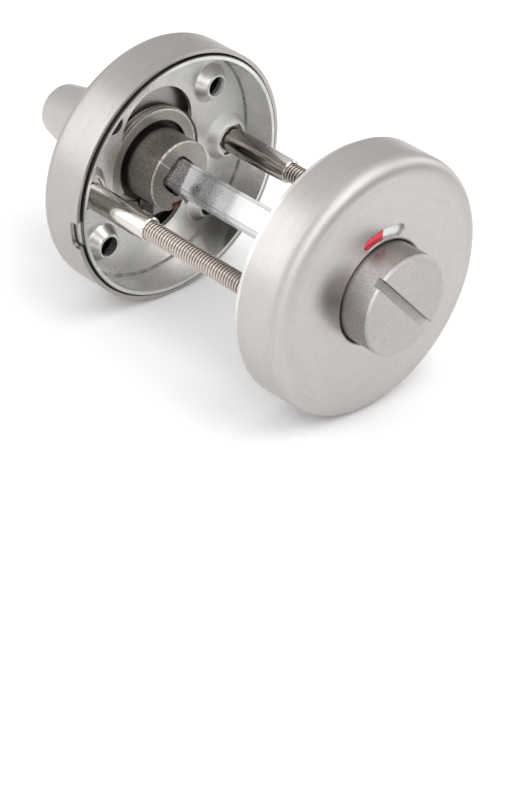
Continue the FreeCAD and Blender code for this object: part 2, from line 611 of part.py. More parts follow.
def make_sleeve(x):
    """Slotted sleeve nut: head behind the boss, hexagonal neck, tapered tapped barrel."""
    boss_top_y = INSIDE_FLOOR_Y - BOSS_HEIGHT
    head_y = boss_top_y + PLATE_SHEET + SEAT_CLEARANCE
    barrel = turned([
        (0, SLEEVE_END_Y), (SLEEVE_END_RADIUS - SLEEVE_MOUTH_CHAMFER, SLEEVE_END_Y),
        (SLEEVE_END_RADIUS, SLEEVE_END_Y + SLEEVE_MOUTH_CHAMFER), (SLEEVE_BASE_RADIUS, boss_top_y),
        (SLEEVE_BASE_RADIUS, head_y), (HEAD_RADIUS, head_y),
        (HEAD_RADIUS, head_y + SLEEVE_HEAD_THICKNESS), (0, head_y + SLEEVE_HEAD_THICKNESS),
    ])
    barrel.translate(vec(x, 0, 0))
    neck = hexagon(SLEEVE_NECK_FLATS, head_y - SLEEVE_NECK_LENGTH, head_y, x)
    half_slot = SLEEVE_SLOT_WIDTH / 2
    slot_y = head_y + SLEEVE_HEAD_THICKNESS - SLEEVE_SLOT_DEPTH
    reach = HEAD_RADIUS + OVERCUT
    slot = box(x - reach, x + reach, slot_y, slot_y + OVERCUT, -half_slot, half_slot)
    bore = disc(SLEEVE_BORE_RADIUS, SLEEVE_END_Y - OVERCUT, SLEEVE_END_Y + SLEEVE_TAP_LENGTH, x)
    return barrel.fuse(neck).cut(slot).cut(bore).removeSplitter()


def make_bolt(x):
    """Clamping bolt: head riveted in the outside boss, tip inside the sleeve."""
    head_y = OUTSIDE_FLOOR_Y + BOSS_HEIGHT - PLATE_SHEET - SEAT_CLEARANCE
    tip_y = SLEEVE_END_Y + BOLT_ENGAGEMENT
    bolt = turned([
        (0, head_y - BOLT_HEAD_THICKNESS), (HEAD_RADIUS, head_y - BOLT_HEAD_THICKNESS),
        (HEAD_RADIUS, head_y), (BOLT_RADIUS, head_y), (BOLT_RADIUS, tip_y - BOLT_TIP_CHAMFER),
        (BOLT_RADIUS - BOLT_TIP_CHAMFER, tip_y), (0, tip_y),
    ])
    bolt.translate(vec(x, 0, 0))
    return bolt


def make_spindle():
    spindle = square_bar(SPINDLE_SIDE, SPINDLE_CHAMFER, SPINDLE_FROM_Y, SPINDLE_TO_Y)
    return spindle.cut(cross_pin_bore(SPINDLE_PIN_RADIUS + SEAT_CLEARANCE))


def cross_pin_bore(radius):
    """Cylinder across the shank and the spindle, square to two spindle flats."""
    pin_y = SHANK_END_Y - SPINDLE_PIN_FROM_SHANK_END
    length = 2 * SHANK_RADIUS + 2 * OVERCUT
    bore = Part.makeCylinder(radius, length, vec(-length / 2, pin_y, 0), vec(1, 0, 0))
    return about_axis(bore, SLOT_ANGLE)


def make_cross_pin():
    """Pin that holds the spindle in the shank, flush with the shank's surface."""
    inside_shank = disc(SHANK_RADIUS - SEAT_CLEARANCE, SPINDLE_FROM_Y, SHANK_END_Y)
    return cross_pin_bore(SPINDLE_PIN_RADIUS).common(inside_shank)


def make_release_knob():
    """Slotted round knob with a shank that carries the carrier, bush, clip and spindle."""
    face_y = OUTSIDE_FACE_Y - KNOB_STAND
    groove_radius = SHANK_RADIUS - CLIP_GROOVE_DEPTH
    chamfer = KNOB_EDGE_CHAMFER
    knob = turned([
        (0, face_y), (KNOB_RADIUS - chamfer, face_y), (KNOB_RADIUS, face_y + chamfer),
        (KNOB_RADIUS, CARRIER_FRONT_Y), (SHANK_RADIUS, CARRIER_FRONT_Y),
        (SHANK_RADIUS, CLIP_Y - CLIP_SIDE_PLAY), (groove_radius, CLIP_Y - CLIP_SIDE_PLAY),
        (groove_radius, CLIP_Y + CLIP_THICKNESS + CLIP_SIDE_PLAY),
        (SHANK_RADIUS, CLIP_Y + CLIP_THICKNESS + CLIP_SIDE_PLAY),
        (SHANK_RADIUS, SHANK_END_Y), (0, SHANK_END_Y),
    ])
    half = SLOT_WIDTH / 2
    reach = KNOB_RADIUS + OVERCUT
    slot = box(-reach, reach, face_y - OVERCUT, face_y + SLOT_DEPTH, -half, half)
    knob = knob.cut(about_axis(slot, SLOT_ANGLE))
    socket = SPINDLE_SIDE + 2 * SOCKET_CLEARANCE
    knob = knob.cut(square_socket(socket, SPINDLE_FROM_Y - SEAT_CLEARANCE, SHANK_END_Y + OVERCUT))
    return knob.cut(cross_pin_bore(SPINDLE_PIN_RADIUS + SEAT_CLEARANCE)).removeSplitter()


def make_carrier():
    """Dark disc that turns with the knob and carries the coloured segments."""
    return tube(CARRIER_RADIUS, SHANK_RADIUS + SEAT_CLEARANCE, CARRIER_FRONT_Y, CARRIER_BACK_Y)


def make_segment(start_angle):
    low, high = SEGMENT_INNER_RADIUS, SEGMENT_OUTER_RADIUS
    return sector(low, high, start_angle, SEGMENT_SWEEP, INDICATOR_FACE_Y, CARRIER_FRONT_Y)


def make_release_bush():
    """Flanged plastic bush that the shank turns in."""
    bore = SHANK_RADIUS + RUNNING_CLEARANCE
    flange_y = CARRIER_BACK_Y + BUSH_SEAT_GAP
    seat_y = OUTSIDE_FLOOR_BACK_Y - SEAT_CLEARANCE
    return turned([
        (bore, flange_y), (BUSH_FLANGE_RADIUS, flange_y), (BUSH_FLANGE_RADIUS, seat_y),
        (BUSH_BARREL_RADIUS, seat_y), (BUSH_BARREL_RADIUS, BUSH_BARREL_END_Y), (bore, BUSH_BARREL_END_Y),
    ])


def make_clip_washer():
    bore = SHANK_RADIUS + RUNNING_CLEARANCE
    return tube(CLIP_WASHER_RADIUS, bore, CLIP_WASHER_Y, CLIP_WASHER_Y + CLIP_WASHER_THICKNESS)


def make_circlip():
    """Open snap ring in the groove of the shank."""
    inner = SHANK_RADIUS - CLIP_GROOVE_DEPTH + SEAT_CLEARANCE
    start = SLOT_ANGLE + CLIP_MOUTH_ANGLE / 2
    return sector(inner, CLIP_RADIUS, start, FULL_TURN - CLIP_MOUTH_ANGLE, CLIP_Y, CLIP_Y + CLIP_THICKNESS)


def make_parts():
    split = SEGMENT_SPLIT_ANGLE
    return {
        "inside_cover_rose": make_inside_cover(),
        "inside_rose_plate": make_inside_plate(),
        "thumb_turn": make_thumb_turn(),
        "turn_hub": make_turn_hub(),
        "hub_grub_screw": make_grub_screw(),
        "hub_bearing_ring": make_bearing_ring(),
        "turn_spring_washer": make_spring_washer(),
        "sleeve_nuts": Part.makeCompound([make_sleeve(-BOLT_X), make_sleeve(BOLT_X)]),
        "clamping_bolts": Part.makeCompound([make_bolt(-BOLT_X), make_bolt(BOLT_X)]),
        "square_spindle": make_spindle(),
        "spindle_cross_pin": make_cross_pin(),
        "outside_cover_rose": make_outside_cover(),
        "outside_rose_plate": make_outside_plate(),
        "release_knob": make_release_knob(),
        "indicator_carrier": make_carrier(),
        "indicator_red_segment": make_segment(split),
        "indicator_white_segment": make_segment(split - SEGMENT_SWEEP),
        "release_bush": make_release_bush(),
        "release_clip_washer": make_clip_washer(),
        "release_circlip": make_circlip(),
    }


os.makedirs("parts", exist_ok=True)
for name, shape in make_parts().items():
    if not shape.isValid():
        raise ValueError(name + " is not a valid solid")
    shape.exportStep("parts/" + name + ".step")
    print(name, len(shape.Solids), round(shape.Volume, 1))
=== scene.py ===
"""Looks of a bathroom thumb turn lock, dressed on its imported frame.

The frame holds two round roses that clamp a door between them, a conical thumb turn
on the room side (+Y), a coin release with an indicator outside (-Y) and the square
spindle, sleeve nuts and bolts that join them. Lengths named here are millimetres and
become metres through MM. Angles are about Y, from +X towards +Z.
"""
import json
import logging
import math
from dataclasses import dataclass
from enum import Enum

import bmesh
import bpy
from mathutils import Matrix, Vector

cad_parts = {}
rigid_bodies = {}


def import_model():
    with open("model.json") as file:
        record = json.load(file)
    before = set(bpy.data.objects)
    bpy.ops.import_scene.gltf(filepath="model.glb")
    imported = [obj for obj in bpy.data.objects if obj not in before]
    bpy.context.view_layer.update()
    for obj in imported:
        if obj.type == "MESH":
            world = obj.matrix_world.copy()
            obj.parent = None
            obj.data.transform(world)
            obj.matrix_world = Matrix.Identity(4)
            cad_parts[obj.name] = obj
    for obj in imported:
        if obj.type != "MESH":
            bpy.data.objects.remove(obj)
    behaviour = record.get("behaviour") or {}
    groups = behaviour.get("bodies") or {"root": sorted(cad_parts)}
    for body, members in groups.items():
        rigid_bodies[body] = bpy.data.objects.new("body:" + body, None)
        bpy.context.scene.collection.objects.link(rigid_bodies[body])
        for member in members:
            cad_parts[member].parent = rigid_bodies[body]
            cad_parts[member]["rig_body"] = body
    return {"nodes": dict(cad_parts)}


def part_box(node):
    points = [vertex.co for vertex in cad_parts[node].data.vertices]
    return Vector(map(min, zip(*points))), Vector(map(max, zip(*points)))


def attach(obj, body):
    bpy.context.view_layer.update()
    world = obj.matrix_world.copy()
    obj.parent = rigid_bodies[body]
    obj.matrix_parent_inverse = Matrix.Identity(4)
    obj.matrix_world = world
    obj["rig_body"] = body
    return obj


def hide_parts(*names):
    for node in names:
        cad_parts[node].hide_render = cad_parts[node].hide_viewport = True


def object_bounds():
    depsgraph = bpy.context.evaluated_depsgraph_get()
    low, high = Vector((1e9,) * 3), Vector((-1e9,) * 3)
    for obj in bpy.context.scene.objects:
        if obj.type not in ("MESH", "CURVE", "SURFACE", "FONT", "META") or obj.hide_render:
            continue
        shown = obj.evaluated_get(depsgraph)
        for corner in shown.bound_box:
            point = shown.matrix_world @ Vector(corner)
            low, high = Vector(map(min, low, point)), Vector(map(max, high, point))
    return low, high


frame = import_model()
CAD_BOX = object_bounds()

MM = 0.001
LOG = logging.getLogger("thumb_turn_lock")

FIXED_BODY = "roses"
TURNING_BODY = "turn_set"

Point = tuple[float, float, float]
Stops = tuple[tuple[float, float], ...]
# The result at a span's start, the result at its end, the start and the end.
Span = tuple[float, float, float, float]


def linear(hex_colour: str) -> tuple[float, float, float, float]:
    """Turn an sRGB hex colour into the linear colour that the shaders take.

    Args:
        hex_colour: Colour as "#RRGGBB".

    Returns:
        Linear red, green, blue and an alpha of 1.
    """
    channels = [int(hex_colour[i:i + 2], 16) / 255 for i in (1, 3, 5)]
    red, green, blue = (c / 12.92 if c <= 0.04045 else ((c + 0.055) / 1.055) ** 2.4 for c in channels)
    return red, green, blue, 1.0


@dataclass(frozen=True)
class Value:
    """A number that a node tree works out; it goes into sums by the usual signs.

    Attributes:
        socket: Socket that gives the number.
    """

    socket: bpy.types.NodeSocket

    def sum(self, operation: str, second: "Value | float" = 0.0, swapped: bool = False) -> "Value":
        """Work out one sum of this value and, where the sum takes one, a second.

        Args:
            operation: Blender's name of the sum.
            second: The other value or number.
            swapped: True where the other one comes first.

        Returns:
            The result.
        """
        own, other = (1, 0) if swapped else (0, 1)
        settings: dict[str | int, object] = {"operation": operation}
        links: dict[str | int, object] = {own: self}
        if isinstance(second, Value):
            links[other] = second
        else:
            settings[other] = second
        return Value(add_node(self.socket.id_data, "ShaderNodeMath", settings, links).outputs[0])

    def __add__(self, second: "Value | float") -> "Value":
        """Add a value or a number."""
        return self.sum("ADD", second)

    def __sub__(self, second: "Value | float") -> "Value":
        """Take a value or a number away."""
        return self.sum("SUBTRACT", second)

    def __rsub__(self, first: float) -> "Value":
        """Take this value away from a number."""
        return self.sum("SUBTRACT", first, swapped=True)

    def __mul__(self, second: "Value | float") -> "Value":
        """Multiply by a value or a number."""
        return self.sum("MULTIPLY", second)

    def __truediv__(self, second: "Value | float") -> "Value":
        """Divide by a value or a number."""
        return self.sum("DIVIDE", second)

    def __lt__(self, second: "Value | float") -> "Value":
        """Give 1 where this is the smaller one and 0 elsewhere."""
        return self.sum("LESS_THAN", second)

    def __gt__(self, second: "Value | float") -> "Value":
        """Give 1 where this is the larger one and 0 elsewhere."""
        return self.sum("GREATER_THAN", second)

    def __abs__(self) -> "Value":
        """Drop the sign."""
        return self.sum("ABSOLUTE")

    def spread(self, low: float, high: float, low_in: float = 0.3, high_in: float = 0.7) -> "Value":
        """Map the value onto a range and hold it there.

        Args:
            low: Result at low_in.
            high: Result at high_in.
            low_in: Start of the used span; a noise is seldom under 0.3 or over 0.7.
            high_in: End of the used span.

        Returns:
            The mapped value.
        """
        ends = {"From Min": low_in, "From Max": high_in, "To Min": low, "To Max": high}
        node = add_node(self.socket.id_data, "ShaderNodeMapRange", ends, {"Value": self})
        return Value(node.outputs["Result"])

    def shares(self, stops: Stops) -> "Value":
        """Look up a share that changes along a length, of which this is a place.

        Args:
            stops: Pairs of a place and the share there, in rising order.

        Returns:
            The share.
        """
        full = stops[-1][0]
        ramp = add_node(self.socket.id_data, "ShaderNodeValToRGB", None, {"Fac": self / full})
        steps = ramp.color_ramp.elements
        for _ in stops[2:]:
            steps.new(1.0)
        for step, (place, share) in zip(steps, stops):
            step.position = place / full
            step.color = (share, share, share, 1.0)
        return Value(ramp.outputs["Color"])


def add_node(
    tree: bpy.types.NodeTree,
    kind: str,
    settings: dict[str | int, object] | None = None,
    links: dict[str | int, Value | bpy.types.NodeSocket] | None = None,
) -> bpy.types.Node:
    """Add one node with its settings and links.

    Args:
        tree: Node tree that takes the node.
        kind: Blender's type name of the node.
        settings: Values for inputs (by name or index) or properties (by name).
        links: Values or sockets to link to the node's inputs.

    Returns:
        The new node.
    """
    node = tree.nodes.new(kind)
    for name, value in (settings or {}).items():
        if isinstance(name, int) or name in node.inputs:
            node.inputs[name].default_value = value
        else:
            setattr(node, name, value)
    for name, source in (links or {}).items():
        tree.links.new(source.socket if isinstance(source, Value) else source, node.inputs[name])
    return node


@dataclass(frozen=True)
class Surface:
    """A material's node tree and the shader at its end.

    Attributes:
        tree: The material's node tree.
        shader: Its principled shader.
    """

    tree: bpy.types.NodeTree
    shader: bpy.types.Node

    def value(
        self, kind: str, output: str, settings: dict[str | int, object], source: Value | bpy.types.NodeSocket,
    ) -> Value:
        """Add one node behind a value or socket and give one of its outputs.

        Args:
            kind: Blender's type name of the node.
            output: Name of the output.
            settings: Values for its inputs or properties.
            source: What its first input gets.

        Returns:
            The output's value.
        """
        return Value(add_node(self.tree, kind, settings, {0: source}).outputs[output])

    def place_mm(self) -> bpy.types.NodeSocket:
        """Give the point on the object, in its own coordinates, in millimetres."""
        place = add_node(self.tree, "ShaderNodeTexCoord").outputs["Object"]
        scale = {"operation": "SCALE", "Scale": 1 / MM}
        return add_node(self.tree, "ShaderNodeVectorMath", scale, {0: place}).outputs[0]

    def axis_place(self) -> tuple[Value, ...]:
        """Give the point's place about the lock's axis in millimetres.

        Returns:
            The x and z across the lock, the height along the axis and the distance
            from the axis.
        """
        parts = add_node(self.tree, "ShaderNodeSeparateXYZ", None, {0: self.place_mm()}).outputs
        flat = add_node(self.tree, "ShaderNodeCombineXYZ", None, {"X": parts["X"], "Z": parts["Z"]})
        radius = self.value("ShaderNodeVectorMath", "Value", {"operation": "LENGTH"}, flat.outputs[0])
        return Value(parts["X"]), Value(parts["Z"]), Value(parts["Y"]), radius

    def speckle(self, size: float, low: float, high: float) -> Value:
        """Give a fine pattern between two values.

        Args:
            size: Size of the specks in millimetres.
            low: Value in the hollows of the pattern.
            high: Value on its tops.

        Returns:
            The pattern.
        """
        kind = {"Scale": 1 / size, "Detail": 3.0, "Roughness": 0.65}
        return self.value("ShaderNodeTexNoise", "Fac", kind, self.place_mm()).spread(low, high, 0.38, 0.62)

    def round_spot(self, centre: Point, radius: float) -> Value:
        """Give the share of a soft round spot.

        Args:
            centre: Middle of the spot in millimetres.
            radius: Radius at which it has faded out.

        Returns:
            1 in the middle, down to 0 from the radius on.
        """
        between = {"operation": "DISTANCE", 1: centre}
        away = self.value("ShaderNodeVectorMath", "Value", between, self.place_mm())
        return away.spread(1.0, 0.0, radius * 0.4, radius)

    def off_ring(self, radius: Value, height: Value, ring: tuple[float, float]) -> Value:
        """Measure how far the point is from a ring about the lock's axis.

        Args:
            radius: The point's distance from the axis.
            height: Its height along the axis.
            ring: The ring's radius and height.

        Returns:
            The distance in millimetres.
        """
        spot = add_node(self.tree, "ShaderNodeCombineXYZ", None, {"X": radius, "Y": height}).outputs[0]
        return self.value("ShaderNodeVectorMath", "Value", {"operation": "DISTANCE", 1: (*ring, 0.0)}, spot)

    def tint(self, amount: Value, other: str) -> None:
        """Mix the surface's colour towards another one.

        Args:
            amount: Share of the other colour, 0 to 1.
            other: sRGB hex of the other colour.
        """
        own = self.shader.inputs["Base Color"]
        mix = add_node(self.tree, "ShaderNodeMix", {"data_type": "RGBA"}, {"Factor": amount})
        if own.is_linked:
            self.tree.links.new(own.links[0].from_socket, mix.inputs[6])
        else:
            mix.inputs[6].default_value = own.default_value[:]
        mix.inputs[7].default_value = linear(other)
        self.tree.links.new(mix.outputs[2], own)

    def feed(self, name: str, source: Value) -> None:
        """Lead a value into the shader's input of that name."""
        self.tree.links.new(source.socket, self.shader.inputs[name])

    def emboss(self, pattern: Value, strength: float, depth: float) -> None:
        """Raise the surface by a pattern of that depth in millimetres."""
        relief = {"Strength": strength, "Distance": depth * MM}
        bump = add_node(self.tree, "ShaderNodeBump", relief, {"Height": pattern})
        self.feed("Normal", Value(bump.outputs["Normal"]))


@dataclass(frozen=True)
class Finish:
    """A surface finish: what the material is, its colour and how it shines.

    Attributes:
        name: Common name of the material and how its surface was made.
        colour: sRGB hex colour of the clean surface.
        metallic: 1 for bare or plated metal, 0 for plastic.
        roughness: Middle roughness of the surface.
        rough_swing: How much the pattern's hollows and its tops change the roughness.
    """

    name: str
    colour: str
    metallic: float = 1.0
    roughness: float = 0.4
    rough_swing: tuple[float, float] = (-0.05, 0.05)

    def material(self) -> bpy.types.Material:
        """Make the finish's material, with its pattern on the principled shader.

        Returns:
            The material.
        """
        made = bpy.data.materials.new(self.name)
        made.use_nodes = True
        shader = made.node_tree.nodes["Principled BSDF"]
        shader.inputs["Base Color"].default_value = linear(self.colour)
        shader.inputs["Metallic"].default_value = self.metallic
        shader.inputs["Roughness"].default_value = self.roughness
        self.pattern(Surface(made.node_tree, shader))
        return made

    def pattern(self, on: Surface) -> None:
        """Add the finish's own pattern; a plain finish has none."""

    def rough(self, pattern: Value) -> Value:
        """Vary the roughness with a pattern."""
        return pattern.spread(*(self.roughness + change for change in self.rough_swing))


@dataclass(frozen=True)
class BrushedStainless(Finish):
    """Austenitic stainless steel, turned or belt-brushed round the lock's axis.

    The eye sees a soft satin sheen that fans out across the brush lines, with fine
    streaks that run round the axis and light up a little more or less.

    Attributes:
        streak_length: Length of a brush mark along the circumference at the rim.
        streak_spacing: Distance between brush marks; coarser than the real 0.05 mm
            grit so that the render shows it.
        streak_depth: Height of the marks in the bump.
        streak_tint: How much the marks darken the metal.
        band_share: Fineness of the broad bands as a share of the marks' own.
        band_tint: How much the bands lighten the metal.
        mottle: How much the even mottle between the marks darkens it.
        mottle_size: Size of that mottle.
        sheen_turn: Strength of the anisotropic highlight.
        rim_radius: Radius of the piece's rim.
        corner: Size of the rounded edge, which is brushed across and so duller.
        corner_y: Distance of that edge's face from mid-door along the axis.
        corner_rough: How much rougher the rounded edge is.
    """

    streak_length: float = 7.0
    streak_spacing: float = 0.24
    streak_depth: float = 0.004
    streak_tint: float = 0.09
    band_share: float = 0.16
    band_tint: float = 0.05
    mottle: float = 0.1
    mottle_size: float = 0.5
    sheen_turn: float = 0.4
    rim_radius: float = 26.0
    corner: float = 4.5
    corner_y: float = 32.8
    corner_rough: float = 0.16

    def pattern(self, on: Surface) -> None:
        """Add brush marks that run round the Y axis.

        Args:
            on: The surface that takes them.
        """
        fine = {"Scale": 1.0, "Detail": 3.0, "Roughness": 0.65}
        marks = on.value("ShaderNodeTexNoise", "Fac", fine, self.ring_grain(on, 1.0))
        broad = {"Scale": 1.0, "Detail": 1.0}
        band = on.value("ShaderNodeTexNoise", "Fac", broad, self.ring_grain(on, self.band_share))
        mottled = {"Scale": 1 / self.mottle_size, "Detail": 4.0, "Roughness": 0.7}
        even = on.value("ShaderNodeTexNoise", "Fac", mottled, on.place_mm())
        on.feed("Roughness", self.rough(marks) + self.dull_corner(on))
        on.tint(marks.spread(0.0, self.streak_tint), "#8C8680")
        on.tint(even.spread(0.0, self.mottle), "#857F79")
        on.tint(band.spread(0.0, self.band_tint), "#EFEDEA")
        self.painted_light_and_shade(on)
        on.emboss(marks, strength=0.35, depth=self.streak_depth)
        on.shader.inputs["Anisotropic"].default_value = self.sheen_turn
        turn = add_node(on.tree, "ShaderNodeTangent", {"direction_type": "RADIAL", "axis": "Y"})
        on.feed("Tangent", Value(turn.outputs["Tangent"]))

    def ring_grain(self, on: Surface, across: float) -> bpy.types.NodeSocket:
        """Give coordinates that change slowly round the axis and fast across it.

        Args:
            on: The brushed surface.
            across: Share of the full fineness across the brush marks.

        Returns:
            Vector socket for a noise texture of scale 1.
        """
        x, z, height, radius = on.axis_place()
        cross = (radius - abs(height)) * (across / self.streak_spacing)
        vector = add_node(on.tree, "ShaderNodeCombineXYZ", None, {"X": x, "Z": z}).outputs[0]
        stretch = {"operation": "SCALE", "Scale": self.rim_radius / self.streak_length}
        for step in ({"operation": "NORMALIZE"}, stretch):
            vector = add_node(on.tree, "ShaderNodeVectorMath", step, {0: vector}).outputs[0]
        rise = add_node(on.tree, "ShaderNodeCombineXYZ", None, {"Y": cross}).outputs[0]
        both = {0: vector, 1: rise}
        return add_node(on.tree, "ShaderNodeVectorMath", {"operation": "ADD"}, both).outputs[0]

    def dull_corner(self, on: Surface) -> Value:
        """Find how much rougher the metal is towards the rounded edge of the rim.

        Args:
            on: The brushed surface.

        Returns:
            The added roughness.
        """
        _, _, height, radius = on.axis_place()
        outer = radius.spread(0.0, 1.0, self.rim_radius - self.corner, self.rim_radius - self.corner / 2)
        near_face = abs(height).spread(0.0, 1.0, self.corner_y - self.corner, self.corner_y - self.corner / 2)
        return outer * near_face * self.corner_rough

    def painted_light_and_shade(self, on: Surface) -> None:
        """Add painted light and shade to the brushed metal; a plain cover has none."""


@dataclass(frozen=True)
class SlottedStainless(BrushedStainless):
    """Turned stainless with a milled coin slot, with painted shade in the slot and painted light and shade on
    the side.

    Attributes:
        floor_y: Height of the knob's face and a little more, from which the slot's
            walls and floor are told.
        slot_half: Half the slot's width.
        slot_reach: Radius that the slot's floor stays within.
        slot_shade_span: Share of painted shade in the slot, by z minus x, darkest towards its upper-left end.
        slot_shade_colour: sRGB hex of the painted shade on the slot's floor and walls.
        side_radius: Radius of the knob's side.
        side_edge: Depth over which the painted light and shade on the side fade in.
        side_light_and_shade: Painted shade bands and a painted highlight on the side, each as its
            angle round the axis, its reach, its full share and its sRGB hex.
    """

    floor_y: float = -38.92
    slot_half: float = 0.97
    slot_reach: float = 10.06
    slot_shade_span: Span = (0.05, 0.75, -9.0, 13.0)
    slot_shade_colour: str = "#85807B"
    side_radius: float = 9.9
    side_edge: float = 0.3
    side_light_and_shade: tuple[tuple[float, float, float, str], ...] = (
        (96.0, 1.6, 0.5, "#6E6863"), (196.0, 2.6, 0.45, "#6E6863"), (141.0, 1.4, 0.4, "#FFFFFF"),
    )

    def painted_light_and_shade(self, on: Surface) -> None:
        """Paint shade into the slot, which crosses the face at 135 degrees, and paint light and shade on the
        side.

        Args:
            on: The knob's surface.
        """
        x, z, height, radius = on.axis_place()
        across = abs(x + z) < self.slot_half * math.sqrt(2)
        slot = across * (height > self.floor_y) * (radius < self.slot_reach)
        # Painted shade in the slot's recess, darker towards its upper-left end.
        share = slot * on.speckle(size=0.34, low=0.45, high=1.0)
        on.tint(share * (z - x).spread(*self.slot_shade_span), self.slot_shade_colour)
        side = radius.spread(0.0, 1.0, self.side_radius - self.side_edge, self.side_radius)
        # The two dark bands are painted shade and the white band is a painted highlight.
        for degrees, reach, full, colour in self.side_light_and_shade:
            turn = math.radians(degrees)
            towards = x * math.cos(turn) + z * math.sin(turn)
            band = towards.spread(0.0, full, self.side_radius - reach, self.side_radius)
            on.tint(side * (band * on.speckle(size=0.42, low=0.35, high=1.0)), colour)


@dataclass(frozen=True)
class KnobShadedFace(BrushedStainless):
    """Brushed cover of the coin release, with the knob's dark reflection and shade painted beside the knob.

    Attributes:
        knob_shade_at: Middle of the painted reflection and shade.
        knob_shade_radius: Its radius.
        knob_shade_share: Share of the painted shade's colour in its middle.
        knob_shade_colour: sRGB hex of the painted shade.
    """

    knob_shade_at: Point = (-11.8, -32.8, 4.8)
    knob_shade_radius: float = 6.2
    knob_shade_share: float = 0.62
    knob_shade_colour: str = "#6F6964"

    def painted_light_and_shade(self, on: Surface) -> None:
        """Paint the knob's dark reflection and shade onto the face beside it."""
        on.tint(on.round_spot(self.knob_shade_at, self.knob_shade_radius) * self.knob_shade_share, self.knob_shade_colour)


@dataclass(frozen=True)
class ZincPlate(Finish):
    """Pressed low-carbon steel with bright zinc plating.

    The eye sees a half-mirror sheet with clouds from the bath, a soft ripple from the
    press and a light frost of scuffs, with painted shade along the bend's crease, in
    patches of the pan and on the inside plate's rim.

    Attributes:
        cloud_size: Size of the bath's clouds.
        cloud_tint: How much the clouds darken the sheet.
        ripple_size: Size of the press ripple.
        ripple_depth: Height of the press ripple.
        frost_size: Size of the scuffs, a little coarser than real.
        bend: Radius and height of the pan's bend, on either side of the door.
        crease_shade_width: Width of the painted shade along the bend's crease.
        shade_spots: Patches of painted shade in the pan, each as its middle, radius and full share.
        edge: Share of painted shade on the inside plate's outer rim, by the radius.
        rim_shade_y: Height that this painted shade stays below.
        milky_at: Middle of a milky patch, less of a mirror, on the pan's wall.
        milky_radius: Radius of that patch.
        milky_metallic: How much of a metal it still is in the middle.
    """

    rough_swing: tuple[float, float] = (-0.06, 0.1)
    cloud_size: float = 6.0
    cloud_tint: float = 0.3
    ripple_size: float = 4.0
    ripple_depth: float = 0.06
    frost_size: float = 0.6
    bend: tuple[float, float] = (24.0, 28.2)
    crease_shade_width: float = 0.5
    shade_spots: tuple[tuple[Point, float, float], ...] = (
        ((15.5, 27.0, -17.0), 9.0, 0.68), ((6.8, 28.2, 18.8), 6.5, 0.4),
    )
    edge: Span = (0.0, 0.85, 24.64, 24.72)
    rim_shade_y: float = 21.5
    milky_at: Point = (21.5, 27.0, 7.8)
    milky_radius: float = 14.0
    milky_metallic: float = 0.12

    def pattern(self, on: Surface) -> None:
        """Add clouds to the roughness and colour, painted shade to the colour, and a ripple to the surface.

        Args:
            on: The sheet's surface.
        """
        place = on.place_mm()
        cloud = on.value("ShaderNodeTexNoise", "Fac", {"Scale": 1 / self.cloud_size, "Detail": 4.0}, place)
        ripple = on.value("ShaderNodeTexNoise", "Fac", {"Scale": 1 / self.ripple_size, "Detail": 2.0}, place)
        on.feed("Roughness", self.rough(cloud))
        on.tint(cloud.spread(0.0, self.cloud_tint, 0.35, 0.7), "#9B9A97")
        on.tint(on.speckle(size=self.frost_size, low=0.14, high=0.0), "#8D8C89")
        _, _, height, radius = on.axis_place()
        off_bend = on.off_ring(radius, abs(height), self.bend)
        # A line of painted shade along the crease of the pan's bend.
        line = off_bend.spread(0.8, 0.0, self.crease_shade_width * 0.6, self.crease_shade_width)
        on.tint(line * on.speckle(size=1.6, low=0.5, high=1.0), "#4B4946")
        # Patches of painted shade in the pan.
        for centre, reach, full in self.shade_spots:
            on.tint(on.round_spot(centre, reach) * full, "#7C7A77")
        # Painted shade on the inside plate's outer rim, which widens the dark gap beside the cover.
        inside = (height > 0.0) * (height < self.rim_shade_y)
        on.tint(radius.spread(*self.edge) * inside, "#161514")
        milky = on.round_spot(self.milky_at, self.milky_radius)
        on.feed("Metallic", milky.spread(self.metallic, self.milky_metallic, 0.1, 0.6))
        on.emboss(ripple, strength=0.5, depth=self.ripple_depth)


